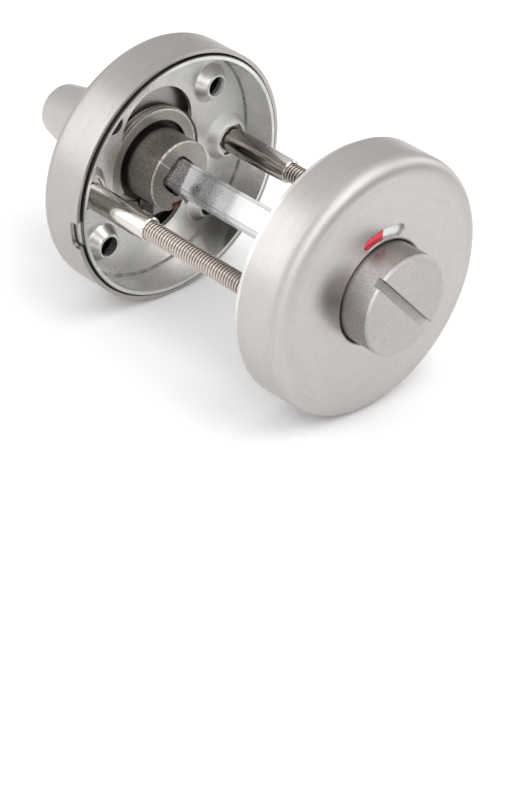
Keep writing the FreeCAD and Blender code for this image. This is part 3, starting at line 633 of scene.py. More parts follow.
@dataclass(frozen=True)
class CastZinc(Finish):
    """Die-cast zinc alloy, left as it came from the die.

    The eye sees a dull, grainy grey with a fine pitted skin, brighter edges that are
    partly worn and partly a painted highlight, and painted shade deep in the running gap.

    Attributes:
        grain_size: Size of the skin's grains, a little coarser than real.
        grain_depth: Height of the grains.
        blotch_share: Fineness of the pale blotches as a share of the grain's.
        dark: sRGB hex of the darker specks.
        rubbed_and_highlit: Radius and height of the bright edge band, partly worn by handling and
            partly a painted highlight.
        rubbed_and_highlit_width: Width of that band.
        gap_shade_radius: Radius of the running gap, inside which painted shade lies.
        gap_shade_y: Height from which it lies.
    """

    rough_swing: tuple[float, float] = (0.1, -0.1)
    grain_size: float = 0.28
    grain_depth: float = 0.03
    blotch_share: float = 0.12
    dark: str = "#4E4843"
    rubbed_and_highlit: tuple[float, float] = (7.3, 21.1)
    rubbed_and_highlit_width: float = 0.3
    gap_shade_radius: float = 8.6
    gap_shade_y: float = 28.2

    def pattern(self, on: Surface) -> None:
        """Add a grainy skin in colour, roughness and bump.

        Args:
            on: The casting's surface.
        """
        place = on.place_mm()
        fine, broad = ({"Scale": share / self.grain_size, "Detail": 3.0} for share in (1, self.blotch_share))
        grain = on.value("ShaderNodeTexNoise", "Fac", fine, place)
        blotch = on.value("ShaderNodeTexNoise", "Fac", broad, place)
        on.tint(grain.spread(0.6, 0.0), self.dark)
        on.tint(blotch.spread(0.0, 0.3, 0.4, 0.7), "#B4AEA7")
        self.marks(on)
        _, _, height, radius = on.axis_place()
        # A bright band round the edge, partly worn and partly a painted highlight.
        off_edge = on.off_ring(radius, height, self.rubbed_and_highlit)
        band = off_edge.spread(1.0, 0.0, self.rubbed_and_highlit_width * 0.5, self.rubbed_and_highlit_width)
        on.tint(band * grain.spread(0.25, 1.0, 0.35, 0.6), "#F2F0EC")
        # Painted shade, dark deep in the running gap between hub and ring.
        deep = height.spread(0.0, 0.92, self.gap_shade_y - 0.7, self.gap_shade_y)
        near = radius.spread(1.0, 0.0, self.gap_shade_radius - 0.1, self.gap_shade_radius + 0.1)
        on.tint(deep * near, "#302D2B")
        on.feed("Roughness", self.rough(grain))
        on.emboss(grain, strength=0.8, depth=self.grain_depth)

    def marks(self, on: Surface) -> None:
        """Add marks of making and fitting; a plain casting has none."""


@dataclass(frozen=True)
class HubCasting(CastZinc):
    """The hub's casting, faced on one end and stained by its coppery screw.

    Attributes:
        face_y: Height of the faced end along the lock's axis.
        light_way: Direction on the face, as x and z, towards its lighter side.
        lit: Share of light on the face, by the distance that way.
        shaded: Share of dark on the face, by the same distance.
        stain_at: Middle of the coppery stain.
        stain_radius: Radius of the stain.
        seam_degrees: Angle of the die's parting line round the axis.
        seam: Share of bright metal along that line, by the distance from it.
        mouth_shade_reach: Sum of x and z that the painted shade at the socket's mouth stays within.
        mouth_shade_corner: Largest x or z of that shade.
        mouth_shade_rag: How ragged the shade's edge is.
        mouth_shade_share: Share of the shade's colour.
    """

    face_y: float = 21.1
    light_way: tuple[float, float] = (0.87, 0.5)
    lit: Span = (0.0, 0.35, -2.0, 6.0)
    shaded: Span = (0.5, 0.0, -6.0, 1.0)
    stain_at: Point = (1.0, 21.2, -7.2)
    stain_radius: float = 2.9
    seam_degrees: float = 138.0
    seam: Span = (0.55, 0.0, 0.06, 0.16)
    mouth_shade_reach: float = 4.95
    mouth_shade_corner: float = 4.25
    mouth_shade_rag: float = 0.22
    mouth_shade_share: float = 0.95

    def marks(self, on: Surface) -> None:
        """Paint light and shade on the faced end and shade round the socket's mouth, and add
        the parting line and the stain.

        Args:
            on: The hub's surface.
        """
        x, z, height, _ = on.axis_place()
        on_face = height.spread(1.0, 0.0, self.face_y + 0.05, self.face_y + 0.25)
        right, up = self.light_way
        towards = x * right + z * up
        on.tint(on_face * towards.spread(*self.lit), "#DAD5CF")
        on.tint(on_face * towards.spread(*self.shaded), "#6B645E")
        # Painted shade round the socket's mouth, which widens the dark gap round the spindle.
        wide, tall = abs(x), abs(z)
        ragged = wide + tall + on.speckle(size=0.5, low=-self.mouth_shade_rag, high=self.mouth_shade_rag)
        mouth = (ragged < self.mouth_shade_reach) * (wide.sum("MAXIMUM", tall) < self.mouth_shade_corner) * on_face
        on.tint(mouth * self.mouth_shade_share, "#12100F")
        turn = math.radians(self.seam_degrees)
        line = abs(x * math.sin(turn) - z * math.cos(turn)).spread(*self.seam) * (z > 0.0)
        on.tint(line * height.spread(1.0, 0.0, self.face_y, self.face_y + 2.0), "#EFEBE6")
        stain = on.round_spot(self.stain_at, self.stain_radius)
        on.tint(stain * on.speckle(size=0.4, low=0.2, high=1.0), "#6E4232")


@dataclass(frozen=True)
class DrawnSteel(Finish):
    """Cold-drawn or turned steel with faint die lines along the Y axis.

    The eye sees a sheen drawn out along the bar, with fine lengthwise lines and some
    dull patches.

    Attributes:
        line_spacing: Distance between die lines across the bar.
        line_length: Length of a die line along the bar.
        line_depth: Height of the lines in the bump.
        patches_per_mm: Fineness of the dull patches.
        patch: Share of dull colour in the patches.
        dull: sRGB hex of the dull colour.
    """

    rough_swing: tuple[float, float] = (-0.04, 0.06)
    line_spacing: float = 0.3
    line_length: float = 14.0
    line_depth: float = 0.004
    patches_per_mm: float = 0.22
    patch: float = 0.2
    dull: str = "#8D8A86"

    def pattern(self, on: Surface) -> None:
        """Add die lines along Y and broad dull patches.

        Args:
            on: The bar's surface.
        """
        place = on.place_mm()
        scale = (1 / self.line_spacing, 1 / self.line_length, 1 / self.line_spacing)
        lined = add_node(on.tree, "ShaderNodeMapping", {"Scale": scale}, {"Vector": place}).outputs[0]
        line = on.value("ShaderNodeTexNoise", "Fac", {"Scale": 1.0, "Detail": 2.0}, lined)
        patch = on.value("ShaderNodeTexNoise", "Fac", {"Scale": self.patches_per_mm, "Detail": 4.0}, place)
        on.tint(patch.spread(0.0, self.patch, 0.4, 0.7), self.dull)
        on.feed("Roughness", self.rough(line))
        self.marks(on)
        on.emboss(line, strength=0.3, depth=self.line_depth)

    def marks(self, on: Surface) -> None:
        """Add marks of making and fitting; a plain bar has none."""


@dataclass(frozen=True)
class RolledThread(DrawnSteel):
    """Rolled thread of the clamping bolts, with painted shade in its roots and on one side.

    Attributes:
        reach: Distance of the bolts from the lock's axis.
        root_shade: Share of painted shade, from the thread's root to its crest.
        root_shade_colour: sRGB hex of the painted shade in the root.
        shaded_side_way: Direction of the shaded side, as x and z.
        side_shade: Share of painted shade, by the distance from the bolt's middle that way.
        side_shade_colour: sRGB hex of the painted shade on that side.
    """

    reach: float = 18.2
    root_shade: Span = (0.92, 0.0, 1.6, 1.87)
    root_shade_colour: str = "#2E2520"
    shaded_side_way: tuple[float, float] = (0.62, 0.78)
    side_shade: Span = (0.0, 0.7, 0.5, 1.9)
    side_shade_colour: str = "#5E4F46"

    def marks(self, on: Surface) -> None:
        """Paint shade into the thread towards its root and on one side.

        Args:
            on: The bolts' surface.
        """
        x, z, _, _ = on.axis_place()
        off = x - x.sum("SIGN") * self.reach
        spot = add_node(on.tree, "ShaderNodeCombineXYZ", None, {"X": off, "Z": z}).outputs[0]
        radius = on.value("ShaderNodeVectorMath", "Value", {"operation": "LENGTH"}, spot)
        right, up = self.shaded_side_way
        # Painted shade on the upper side of the bolts.
        on.tint((off * right + z * up).spread(*self.side_shade), self.side_shade_colour)
        # Painted shade, darkest in the thread's root.
        on.tint(radius.spread(*self.root_shade), self.root_shade_colour)


@dataclass(frozen=True)
class FrostedBar(DrawnSteel):
    """Square bar with frosted zinc plating and a painted dark reflection of the hub next to it.

    Attributes:
        frost_and_reflection_stops: Pairs of a height along the bar and the share of dull frost there; the
        full share next to the hub is a painted reflection of the hub's face.
        slant: How far the stretches of frost lean across the bar.
        frost_size: Size of the frost's specks.
        frost_metallic: How much of a metal the bar is, by the share of frost.
        scuff_at: Middle of a dark scuff on the upper left face.
        scuff_radius: Its radius.
        edge_half: Distance of the chamfers' edges from their corner's middle.
        edge_dark_reflection: Share of painted dark reflection along those edges, by the distance from them.
    """

    frost_and_reflection_stops: Stops = (
        (0.0, 0.0), (3.6, 0.0), (5.0, 0.55), (7.6, 0.3), (10.5, 0.85), (13.5, 0.75), (15.4, 0.1), (17.3, 0.0),
        (17.45, 1.0), (21.0, 0.95),
    )
    slant: float = -0.14
    frost_size: float = 0.28
    frost_metallic: Span = (0.45, 0.9, 0.0, 0.8)
    scuff_at: Point = (-2.9, 13.8, 1.35)
    scuff_radius: float = 1.6
    edge_half: float = 0.495
    edge_dark_reflection: Span = (0.6, 0.0, 0.04, 0.13)

    def marks(self, on: Surface) -> None:
        """Frost the bar by stretches with the hub's reflection, scuff it once and paint dark
        reflections along its chamfers' edges.

        Args:
            on: The bar's surface.
        """
        x, z, height, _ = on.axis_place()
        # Frost by stretches; the dark stretch next to the hub is a painted reflection of its face.
        stretch = (height + (x + z) * self.slant).shares(self.frost_and_reflection_stops)
        frost = stretch * on.speckle(size=self.frost_size, low=0.35, high=1.0)
        on.tint(frost, "#6F7072")
        on.tint(on.speckle(size=self.frost_size, low=0.0, high=0.16), "#97999B")
        scuff = on.round_spot(self.scuff_at, self.scuff_radius)
        on.tint(scuff * on.speckle(size=0.3, low=0.1, high=1.0), "#2B2B2D")
        off_edge = abs(abs(x).sum("MINIMUM", abs(z)) - self.edge_half)
        # Painted dark reflection along the chamfers' edges.
        on.tint(off_edge.spread(*self.edge_dark_reflection), "#77797C")
        on.feed("Metallic", frost.spread(*self.frost_metallic))


@dataclass(frozen=True)
class TintedSleeve(DrawnSteel):
    """Bright nickel sleeves, with a painted dark reflection on the +X one towards the rose.

    Attributes:
        dark_reflection_stops: Pairs of a height along the sleeve and the share of painted dark reflection
            there.
    """

    dark_reflection_stops: Stops = ((9.0, 0.0), (11.5, 0.05), (14.5, 0.42), (19.0, 0.7), (26.0, 0.6))

    def marks(self, on: Surface) -> None:
        """Paint a dark reflection on the sleeve on the +X side."""
        x, _, height, _ = on.axis_place()
        on.tint(height.shares(self.dark_reflection_stops) * (x > 0.0), "#5E564F")


@dataclass(frozen=True)
class MouldedPlastic(Finish):
    """Injection-moulded plastic with a faint moulded skin.

    The eye sees an even colour with a soft gloss, broken by a skin too fine to count.

    Attributes:
        skin_size: Size of the skin's grain.
        skin_depth: Height of the grain in the bump.
        fleck_share: Share of the lighter flecks' colour.
        lighter: sRGB hex of the lighter flecks.
    """

    skin_size: float = 0.5
    skin_depth: float = 0.01
    fleck_share: float = 0.06
    lighter: str = "#FFFFFF"

    def pattern(self, on: Surface) -> None:
        """Add a moulded skin in roughness, colour and bump.

        Args:
            on: The plastic's surface.
        """
        grain = {"Scale": 1 / self.skin_size, "Detail": 2.0}
        skin = on.value("ShaderNodeTexNoise", "Fac", grain, on.place_mm())
        on.feed("Roughness", self.rough(skin))
        on.tint(skin.spread(0.0, self.fleck_share), self.lighter)
        on.emboss(skin, strength=0.2, depth=self.skin_depth)


class Palette(Enum):
    """Every finish on the lock, by the piece or pieces that it goes on."""

    SATIN_COVER = BrushedStainless("satin_brushed_stainless", "#BFBBBA", roughness=0.33, mottle=0.18)
    RELEASE_COVER = KnobShadedFace("release_brushed_stainless", "#C2BEBD", roughness=0.33, mottle=0.18)
    # A darker copy of the satin stainless: painted shade that tones down the inside cover under the key
    # light.
    SHADED_INSIDE_COVER = BrushedStainless("shaded_brushed_stainless", "#B6B2B0", roughness=0.33, mottle=0.2)
    TURNED_KNOB = SlottedStainless(
        "fine_turned_stainless", "#C2BDBB", roughness=0.5, streak_spacing=0.26, streak_length=1.6,
        streak_tint=0.22, mottle=0.28, mottle_size=0.36, rim_radius=10.0, corner=0.0, corner_y=39.0,
    )
    BRIGHT_PLATE = ZincPlate("bright_zinc_plated_sheet", "#E2E1DF", metallic=0.92, roughness=0.28)
    HUB_CASTING = HubCasting(
        "die_cast_zinc_hub", "#A59E98", roughness=0.5, metallic=0.9, grain_size=0.34, dark="#463F3A",
    )
    RING_CASTING = CastZinc(
        "die_cast_zinc_ring", "#B8B4AF", roughness=0.4, grain_size=0.35, grain_depth=0.01, dark="#8E8983",
        rubbed_and_highlit=(10.9, 28.65), rubbed_and_highlit_width=0.5,
    )
    SPRING_STRIP = DrawnSteel("bright_spring_strip", "#B9BAB8", roughness=0.2)
    NICKEL_SLEEVE = TintedSleeve("bright_nickel_sleeve", "#DCD6D0", roughness=0.15, patch=0.1)
    ROLLED_THREAD = RolledThread(
        "rolled_stainless_thread", "#D3C9C2", roughness=0.24, patch=0.3, dull="#A3958B",
    )
    SQUARE_BAR = FrostedBar("zinc_plated_square_bar", "#F3F2F3", roughness=0.3, patch=0.2, dull="#A9ABAC")
    COPPERED_SCREW = DrawnSteel("coppered_grub_screw", "#82604F", roughness=0.36, patch=0.7, dull="#3C2A22")
    RED_SEGMENT = MouldedPlastic("red_acetal", "#E84856", 0.0, 0.35, lighter="#EE8891")
    WHITE_SEGMENT = MouldedPlastic("white_acetal", "#F6F8F9", 0.0, 0.35)
    BLACK_CARRIER = MouldedPlastic("black_acetal", "#1B1B1C", 0.0, 0.5, lighter="#3A3A3C")
    GREY_BUSH = MouldedPlastic("grey_nylon", "#6B6B6B", 0.0, 0.5, lighter="#8A8A8A")


def settle(piece: bpy.types.Object) -> None:
    """Make what a piece's modifiers show its plain mesh, and remove them.

    Args:
        piece: Mesh object with modifiers.
    """
    seen = piece.evaluated_get(bpy.context.evaluated_depsgraph_get())
    mesh = bpy.data.meshes.new_from_object(seen)
    piece.modifiers.clear()
    piece.data = mesh


@dataclass
class Dresser:
    """Makes pieces from the frame's nodes and puts finishes on them."""

    made: dict[Palette, bpy.types.Material]

    def finish(self, choice: Palette) -> bpy.types.Material:
        """Give the material of a finish, made once.

        Args:
            choice: The finish.

        Returns:
            Its material.
        """
        if choice not in self.made:
            self.made[choice] = choice.value.material()
        return self.made[choice]

    def coat(self, piece: bpy.types.Object, choice: Palette) -> None:
        """Put one finish on every face of a piece.

        Args:
            piece: Mesh object to coat.
            choice: The finish.
        """
        material = self.finish(choice)
        if not piece.material_slots:
            piece.data.materials.append(material)
        for slot in piece.material_slots:
            slot.material = material

    def smooth_skin(self, node: str, slot: str, choice: Palette, crease: float = 28.0) -> bpy.types.Object:
        """Stand a smooth-shaded copy of a frame node in its place.

        Args:
            node: Name of the frame's node.
            slot: Name of the record's material slot; not used.
            choice: The finish.
            crease: Angle in degrees above which an edge stays sharp.

        Returns:
            The new piece.
        """
        source = frame["nodes"][node]
        mesh = source.data.copy()
        shell = bmesh.new()
        shell.from_mesh(mesh)
        bmesh.ops.remove_doubles(shell, verts=shell.verts, dist=0.0005 * MM)
        for face in shell.faces:
            face.smooth = True
        for edge in shell.edges:
            edge.smooth = len(edge.link_faces) == 2 and edge.calc_face_angle(0.0) < math.radians(crease)
        shell.to_mesh(mesh)
        shell.free()
        if mesh.has_custom_normals:
            mesh.normals_split_custom_set([(0.0, 0.0, 0.0)] * len(mesh.loops))
        piece = bpy.data.objects.new(node + "_skin", mesh)
        bpy.context.scene.collection.objects.link(piece)
        self.weigh_normals(piece)
        self.coat(piece, choice)
        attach(piece, source["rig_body"])
        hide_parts(node)
        LOG.info("%s: %d faces", piece.name, len(piece.data.polygons))
        return piece

    def weigh_normals(self, piece: bpy.types.Object) -> None:
        """Keep flat faces flat in the shading, so only the roundings turn the light.

        Args:
            piece: Mesh object whose normals are weighed by face area.
        """
        modifier = piece.modifiers.new("flat_faces", "WEIGHTED_NORMAL")
        modifier.weight = 100
        modifier.keep_sharp = True
        settle(piece)


@dataclass
class ThreadedRod:
    """Geometry Nodes tree for a rod along +Y with a rolled thread and plain ends.

    Attributes:
        radius: Outer radius of the thread.
        pitch: Distance between crests.
        depth: Depth of the thread.
        around: Points round the rod.
        rows_per_pitch: Rows of points along each pitch.
    """

    radius: float
    pitch: float
    depth: float
    around: int = 40
    rows_per_pitch: int = 10

    def build(self, name: str, start: Vector, along: Vector, length: float) -> bpy.types.Object:
        """Make one threaded rod as a plain mesh.

        Args:
            name: Name of the new object.
            start: Centre of the rod's first end, in millimetres.
            along: Unit direction of the rod.
            length: Length of the rod in millimetres.

        Returns:
            Mesh object at the origin with its place in its mesh.
        """
        holder = bpy.data.objects.new(name, bpy.data.meshes.new(name + "_empty"))
        bpy.context.scene.collection.objects.link(holder)
        tree = self.tree(name + "_nodes")
        modifier = holder.modifiers.new("thread", "NODES")
        modifier.node_group = tree
        sizes = {
            "Radius": self.radius, "Pitch": self.pitch, "Depth": self.depth, "Length": length,
            "Turns": math.ceil(length / self.pitch) + 1, "Rows per turn": self.rows_per_pitch,
            "Around": self.around,
        }
        for item in tree.interface.items_tree:
            if item.in_out == "INPUT" and item.name in sizes:
                modifier[item.identifier] = sizes[item.name]
        settle(holder)
        turn = Vector((0, 1, 0)).rotation_difference(along).to_matrix().to_4x4()
        holder.data.transform(Matrix.Translation(start * MM) @ turn @ Matrix.Scale(MM, 4))
        return holder

    def tree(self, name: str) -> bpy.types.NodeTree:
        """Build the node tree that bends a grid into a threaded rod.

        Args:
            name: Name of the tree.

        Returns:
            The geometry node tree with its named inputs.
        """
        tree = bpy.data.node_groups.new(name, "GeometryNodeTree")
        tree.interface.new_socket("Geometry", in_out="OUTPUT", socket_type="NodeSocketGeometry")
        for size in ("Radius", "Pitch", "Depth", "Length"):
            tree.interface.new_socket(size, in_out="INPUT", socket_type="NodeSocketFloat")
        for count in ("Turns", "Rows per turn", "Around"):
            tree.interface.new_socket(count, in_out="INPUT", socket_type="NodeSocketInt")
        given = {socket.name: Value(socket) for socket in add_node(tree, "NodeGroupInput").outputs}
        rows = given["Turns"] * given["Rows per turn"] + 1.0
        grid = add_node(
            tree, "GeometryNodeMeshGrid", {"Size X": 1.0, "Size Y": 1.0},
            {"Vertices X": given["Around"] + 1.0, "Vertices Y": rows},
        )
        point = add_node(tree, "GeometryNodeInputPosition").outputs[0]
        place = add_node(tree, "ShaderNodeSeparateXYZ", None, {0: point}).outputs
        turn = Value(place["X"]) + 0.5
        wound = (Value(place["Y"]) + 0.5) * given["Turns"]
        climbed = (wound + turn - 1.0) * given["Pitch"]
        height = climbed.sum("MAXIMUM", 0.0).sum("MINIMUM", given["Length"])
        radius = given["Radius"] - given["Depth"] * self.cut(tree, given, wound, height)
        angle = turn * math.tau
        spot = add_node(
            tree, "ShaderNodeCombineXYZ", None,
            {"X": radius * angle.sum("COSINE"), "Y": height, "Z": radius * angle.sum("SINE")},
        ).outputs[0]
        bent = {"Geometry": grid.outputs["Mesh"], "Position": spot}
        tube = add_node(tree, "GeometryNodeSetPosition", None, bent)
        joined = add_node(tree, "GeometryNodeJoinGeometry")
        caps = [self.end_cap(tree, given, at_far_end) for at_far_end in (False, True)]
        for part in (tube.outputs["Geometry"], *caps):
            tree.links.new(part, joined.inputs["Geometry"])
        last = joined.outputs[0]
        for kind, settings in (
            ("GeometryNodeMergeByDistance", {"Distance": 0.0004}),
            ("GeometryNodeSetShadeSmooth", None),
            ("GeometryNodeRealizeInstances", None),
            ("GeometryNodeSetMaterial", None),
        ):
            last = add_node(tree, kind, settings, {"Geometry": last}).outputs[0]
        add_node(tree, "NodeGroupOutput", None, {0: last})
        return tree

    def cut(self, tree: bpy.types.NodeTree, given: dict[str, Value], wound: Value, height: Value) -> Value:
        """Find how deep the thread is cut, rounded as rolling leaves it.

        Args:
            tree: Geometry node tree.
            given: The tree's named inputs.
            wound: Number of turns up to the point.
            height: Place along the rod.

        Returns:
            Share of the thread's depth, 1 at both plain ends.
        """
        fold = abs((wound + 0.001).sum("FRACT") - 0.5) * 2.0
        ends = {"interpolation_type": "SMOOTHSTEP", "From Min": 0.05, "From Max": 0.95}
        flank = Value(add_node(tree, "ShaderNodeMapRange", ends, {"Value": fold}).outputs["Result"])
        to_end = height.sum("MINIMUM", given["Length"] - height)
        run_out = (to_end / given["Pitch"]).sum("MINIMUM", 1.0)
        return flank * run_out + (1.0 - run_out)

    def end_cap(
        self, tree: bpy.types.NodeTree, given: dict[str, Value], at_far_end: bool,
    ) -> bpy.types.NodeSocket:
        """Close one end of the rod with a flat disc.

        Args:
            tree: Geometry node tree.
            given: The tree's named inputs.
            at_far_end: True for the end at the rod's full length.

        Returns:
            Socket with the cap's mesh, facing out of the rod.
        """
        core = given["Radius"] - given["Depth"]
        rim = {"Vertices": given["Around"], "Radius": core}
        disc = add_node(tree, "GeometryNodeMeshCircle", {"fill_type": "NGON"}, rim).outputs["Mesh"]
        lift = given["Length"] * (1.0 if at_far_end else 0.0)
        shift = add_node(tree, "ShaderNodeCombineXYZ", None, {"Y": lift}).outputs[0]
        turned = {"Rotation": (-math.pi / 2 if at_far_end else math.pi / 2, 0.0, 0.0)}
        moved = {"Geometry": disc, "Translation": shift}
        return add_node(tree, "GeometryNodeTransform", turned, moved).outputs[0]


@dataclass
class Roses:
    """The two round roses: brushed covers snapped over zinc-plated pans."""

    dresser: Dresser

    def build(self) -> None:
        """Dress both covers and both pans."""
        self.dresser.smooth_skin("inside_cover_rose", "satin_stainless", Palette.SHADED_INSIDE_COVER)
        self.dresser.smooth_skin("outside_cover_rose", "satin_stainless", Palette.RELEASE_COVER)
        for node in ("inside_rose_plate", "outside_rose_plate"):
            self.dresser.smooth_skin(node, "bright_zinc_plate", Palette.BRIGHT_PLATE)


@dataclass
class TurnMechanism:
    """The thumb turn, its hub, bearing and spindle.

    Attributes:
        dresser: Makes and coats the pieces.
        grub_radius: Outer radius of the grub screw's thread.
        grub_pitch: Pitch of the grub screw's thread.
        grub_depth: Depth of that thread.
        grub_rows: Rows of points along each of its pitches.
    """

    dresser: Dresser
    grub_radius: float = 2.0
    grub_pitch: float = 0.5
    grub_depth: float = 0.3
    grub_rows: int = 6

    def build(self) -> None:
        """Dress the turning pieces and their bearing."""
        skin = self.dresser.smooth_skin
        skin("thumb_turn", "satin_stainless", Palette.SATIN_COVER)
        skin("turn_hub", "hub_casting", Palette.HUB_CASTING)
        skin("hub_bearing_ring", "ring_casting", Palette.RING_CASTING)
        skin("turn_spring_washer", "spring_steel", Palette.SPRING_STRIP)
        skin("square_spindle", "spindle_steel", Palette.SQUARE_BAR)
        skin("spindle_cross_pin", "bolt_steel", Palette.SPRING_STRIP)
        self.thread_grub_screw()

    def thread_grub_screw(self) -> None:
        """Stand a threaded screw in the place of the plain grub screw."""
        low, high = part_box("hub_grub_screw")
        centre = (low + high) / 2 / MM
        start = Vector((centre.x, centre.y, low.z / MM))
        rod = ThreadedRod(self.grub_radius, self.grub_pitch, self.grub_depth, rows_per_pitch=self.grub_rows)
        piece = rod.build("grub_screw_threaded", start, Vector((0, 0, 1)), (high.z - low.z) / MM)
        self.dresser.coat(piece, Palette.COPPERED_SCREW)
        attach(piece, TURNING_BODY)
        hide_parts("hub_grub_screw")
        LOG.info("%s: %d faces", piece.name, len(piece.data.polygons))


@dataclass
class Clamping:
    """The sleeve nuts and the two long bolts that clamp the roses to the door.

    Attributes:
        dresser: Makes and coats the pieces.
        thread_radius: Outer radius of the bolts' thread.
        thread_pitch: Pitch of an M4 thread.
        thread_depth: Depth of that thread.
        head_radius: Radius of the bolts' heads.
        head_thickness: Thickness of the heads.
        head_bevel: Size of the rounding at the heads' rims.
        head_sides: Corners round a head.
    """

    dresser: Dresser
    thread_radius: float = 1.95
    thread_pitch: float = 0.7
    thread_depth: float = 0.36
    head_radius: float = 3.3
    head_thickness: float = 1.2
    head_bevel: float = 0.15
    head_sides: int = 48

    def build(self) -> None:
        """Dress the sleeve nuts and make the threaded bolts."""
        self.dresser.smooth_skin("sleeve_nuts", "bright_nickel", Palette.NICKEL_SLEEVE)
        self.thread_bolts()

    def thread_bolts(self) -> None:
        """Stand threaded bolts in the place of the plain ones, as one piece."""
        low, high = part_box("clamping_bolts")
        reach = high.x / MM - self.head_radius
        head_y = low.y / MM
        length = high.y / MM - head_y
        rod = ThreadedRod(self.thread_radius, self.thread_pitch, self.thread_depth)
        shanks = []
        for side in (-1, 1):
            start = Vector((side * reach, head_y, 0))
            shanks.append(rod.build("clamping_bolt_thread", start, Vector((0, 1, 0)), length))
        body = bmesh.new()
        for shank in shanks:
            body.from_mesh(shank.data)
        for side in (-1, 1):
            self.add_head(body, side * reach, head_y)
        piece = shanks[0]
        body.to_mesh(piece.data)
        body.free()
        bpy.data.objects.remove(shanks[1])
        piece.name = "clamping_bolts_threaded"
        self.dresser.coat(piece, Palette.ROLLED_THREAD)
        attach(piece, FIXED_BODY)
        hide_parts("clamping_bolts")
        LOG.info("%s: %d faces", piece.name, len(piece.data.polygons))

    def add_head(self, body: bmesh.types.BMesh, x: float, y: float) -> None:
        """Add one flat round bolt head to the mesh.

        Args:
            body: Mesh that takes the head.
            x: Place of the bolt across the lock.
            y: Height of the head's outer face along the axis.
        """
        centre = Vector((x, y + self.head_thickness / 2, 0)) * MM
        stand = Matrix.Translation(centre) @ Matrix.Rotation(math.pi / 2, 4, "X")
        radius = self.head_radius * MM
        made = bmesh.ops.create_cone(
            body, cap_ends=True, segments=self.head_sides, radius1=radius, radius2=radius,
            depth=self.head_thickness * MM, matrix=stand,
        )
        head = set(made["verts"])
        rims = [edge for edge in body.edges if head.issuperset(edge.verts) and edge.calc_face_angle() > 1]
        bmesh.ops.bevel(body, geom=rims, offset=self.head_bevel * MM, segments=2, affect="EDGES")


@dataclass
class CoinRelease:
    """The coin release knob, its indicator and the pieces that hold it."""

    dresser: Dresser

    def build(self) -> None:
        """Dress the knob, indicator, bush, washer and circlip."""
        skin = self.dresser.smooth_skin
        skin("release_knob", "turned_stainless", Palette.TURNED_KNOB)
        skin("indicator_carrier", "black_plastic", Palette.BLACK_CARRIER)
        skin("indicator_red_segment", "red_plastic", Palette.RED_SEGMENT)
        skin("indicator_white_segment", "white_plastic", Palette.WHITE_SEGMENT)
        skin("release_bush", "grey_plastic", Palette.GREY_BUSH)
        skin("release_clip_washer", "bright_zinc_plate", Palette.BRIGHT_PLATE)
        skin("release_circlip", "spring_steel", Palette.SPRING_STRIP)


@dataclass
class Softbox:
    """A soft square light aimed at the lock.

    Attributes:
        name: Name of the light.
        place: Position in metres.
        size: Side of the light in metres.
        power: Power in watts.
    """

    name: str
    place: Point
    size: float
    power: float

    def build(self) -> None:
        """Hang the light and turn it to the lock."""
        data = bpy.data.lights.new(self.name, "AREA")
        data.shape = "SQUARE"
        data.size = self.size
        data.energy = self.power
        light = bpy.data.objects.new(self.name, data)
        light.location = self.place
        light.rotation_mode = "QUATERNION"
        light.rotation_quaternion = (-Vector(self.place)).to_track_quat("-Z", "Y")
        bpy.context.scene.collection.objects.link(light)


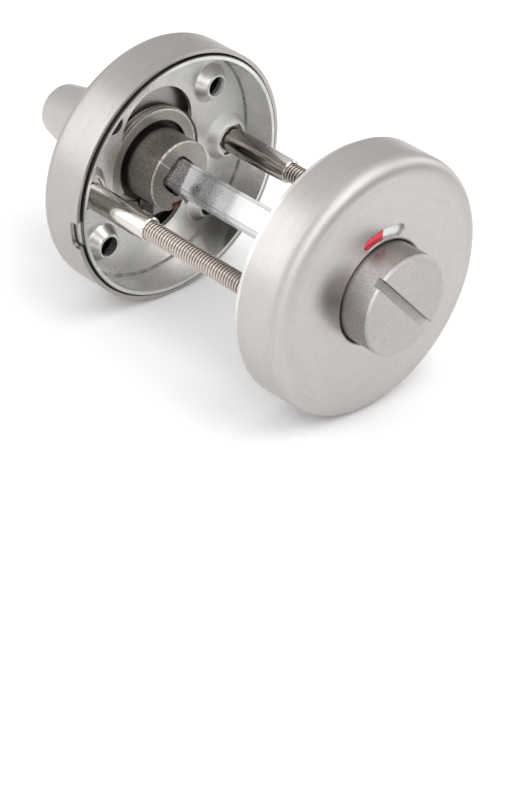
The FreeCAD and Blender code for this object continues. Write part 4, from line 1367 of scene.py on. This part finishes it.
@dataclass
class Studio:
    """Pale floor, soft lights and the camera of the photograph.

    Attributes:
        focal_px: Focal length in pixels of the photograph.
        frame_height_px: Height of the photograph, its long side.
        sensor_mm: Width of the camera's sensor.
        half_floor: Half the floor's side in metres.
        eye: Camera position in millimetres.
        azimuth: Camera azimuth in degrees; 0 looks along +Y.
        elevation: Camera elevation in degrees.
        roll: Camera roll in degrees, top to the left.
        bright_way: Direction from which the tent is brightest.
        tent_dark: sRGB hex of the tent away from there.
        tent_light: sRGB hex of the tent there.
    """

    focal_px: float = 2974.1
    frame_height_px: float = 800.0
    sensor_mm: float = 36.0
    half_floor: float = 3.0
    eye: Point = (-347.73, -337.90, 275.79)
    azimuth: float = -46.215
    elevation: float = 33.076
    roll: float = 4.459
    bright_way: Point = (-0.6, 0.6, 0.5)
    tent_dark: str = "#A9A8A7"
    tent_light: str = "#FDFDFD"

    def build(self) -> None:
        """Set up the floor, the lights, the sky and the camera."""
        self.floor()
        self.sky()
        for light in (
            Softbox("key_left_back", (-0.95, 0.85, 0.6), 1.2, 4.6),
            Softbox("top_soft", (0.15, -0.6, 1.0), 0.9, 5.5),
            Softbox("overhead", (0.3, 0.05, 1.1), 0.5, 0.8),
            Softbox("camera_fill", (-0.75, -0.75, 0.65), 0.8, 3.5),
            Softbox("right_rim", (1.0, -0.15, 0.4), 0.45, 1.6),
        ):
            light.build()
        self.camera()
        bpy.context.scene.view_settings.view_transform = "Standard"

    def floor(self) -> None:
        """Lay a large pale floor just under the roses."""
        lowest = CAD_BOX[0].z
        half = self.half_floor
        corners = [(-half, -half, lowest), (half, -half, lowest), (half, half, lowest), (-half, half, lowest)]
        mesh = bpy.data.meshes.new("floor")
        mesh.from_pydata(corners, [], [(0, 1, 2, 3)])
        floor = bpy.data.objects.new("floor", mesh)
        bpy.context.scene.collection.objects.link(floor)
        paint = bpy.data.materials.new("white_paper_sweep")
        paint.use_nodes = True
        shader = paint.node_tree.nodes["Principled BSDF"]
        shader.inputs["Base Color"].default_value = linear("#F7F7F7")
        shader.inputs["Roughness"].default_value = 0.9
        shader.inputs["Specular IOR Level"].default_value = 0.1
        mesh.materials.append(paint)

    def sky(self) -> None:
        """Surround the lock with a soft tent that is lighter on the key light's side."""
        world = bpy.data.worlds.new("soft_tent")
        bpy.context.scene.world = world
        world.use_nodes = True
        tree = world.node_tree
        way = add_node(tree, "ShaderNodeTexCoord").outputs["Generated"]
        towards = {"operation": "DOT_PRODUCT", 1: Vector(self.bright_way).normalized()}
        facing = Value(add_node(tree, "ShaderNodeVectorMath", towards, {0: way}).outputs["Value"])
        ramp = add_node(tree, "ShaderNodeValToRGB", None, {"Fac": facing.spread(0.0, 1.0, -1.0, 1.0)})
        stops = ramp.color_ramp.elements
        stops[0].color = linear(self.tent_dark)
        stops[1].color = linear(self.tent_light)
        back = tree.nodes["Background"]
        tree.links.new(ramp.outputs["Color"], back.inputs["Color"])
        back.inputs["Strength"].default_value = 1.0

    def camera(self) -> None:
        """Stand the camera where the photograph was taken from."""
        azimuth, elevation, roll = (math.radians(a) for a in (self.azimuth, self.elevation, self.roll))
        back = Vector((
            math.sin(azimuth) * math.cos(elevation),
            -math.cos(azimuth) * math.cos(elevation),
            math.sin(elevation),
        ))
        level = Vector((math.cos(azimuth), math.sin(azimuth), 0.0))
        upright = back.cross(level)
        right = level * math.cos(roll) + upright * math.sin(roll)
        up = upright * math.cos(roll) - level * math.sin(roll)
        data = bpy.data.cameras.new("photo_camera")
        data.sensor_fit = "AUTO"
        data.sensor_width = self.sensor_mm
        data.lens = self.focal_px * self.sensor_mm / self.frame_height_px
        data.clip_start = 0.01
        data.clip_end = 20.0
        camera = bpy.data.objects.new("photo_camera", data)
        turn = Matrix((right, up, back)).transposed().to_4x4()
        camera.matrix_world = Matrix.Translation(Vector(self.eye) * MM) @ turn
        bpy.context.scene.collection.objects.link(camera)
        bpy.context.scene.camera = camera


def main() -> None:
    """Dress every sub-assembly and set up the studio."""
    logging.basicConfig(level=logging.INFO, format="%(message)s")
    dresser = Dresser({})
    for assembly in (Roses(dresser), TurnMechanism(dresser), Clamping(dresser), CoinRelease(dresser)):
        LOG.info("building %s", type(assembly).__name__)
        assembly.build()
    Studio().build()


if __name__ == "__main__":
    main()
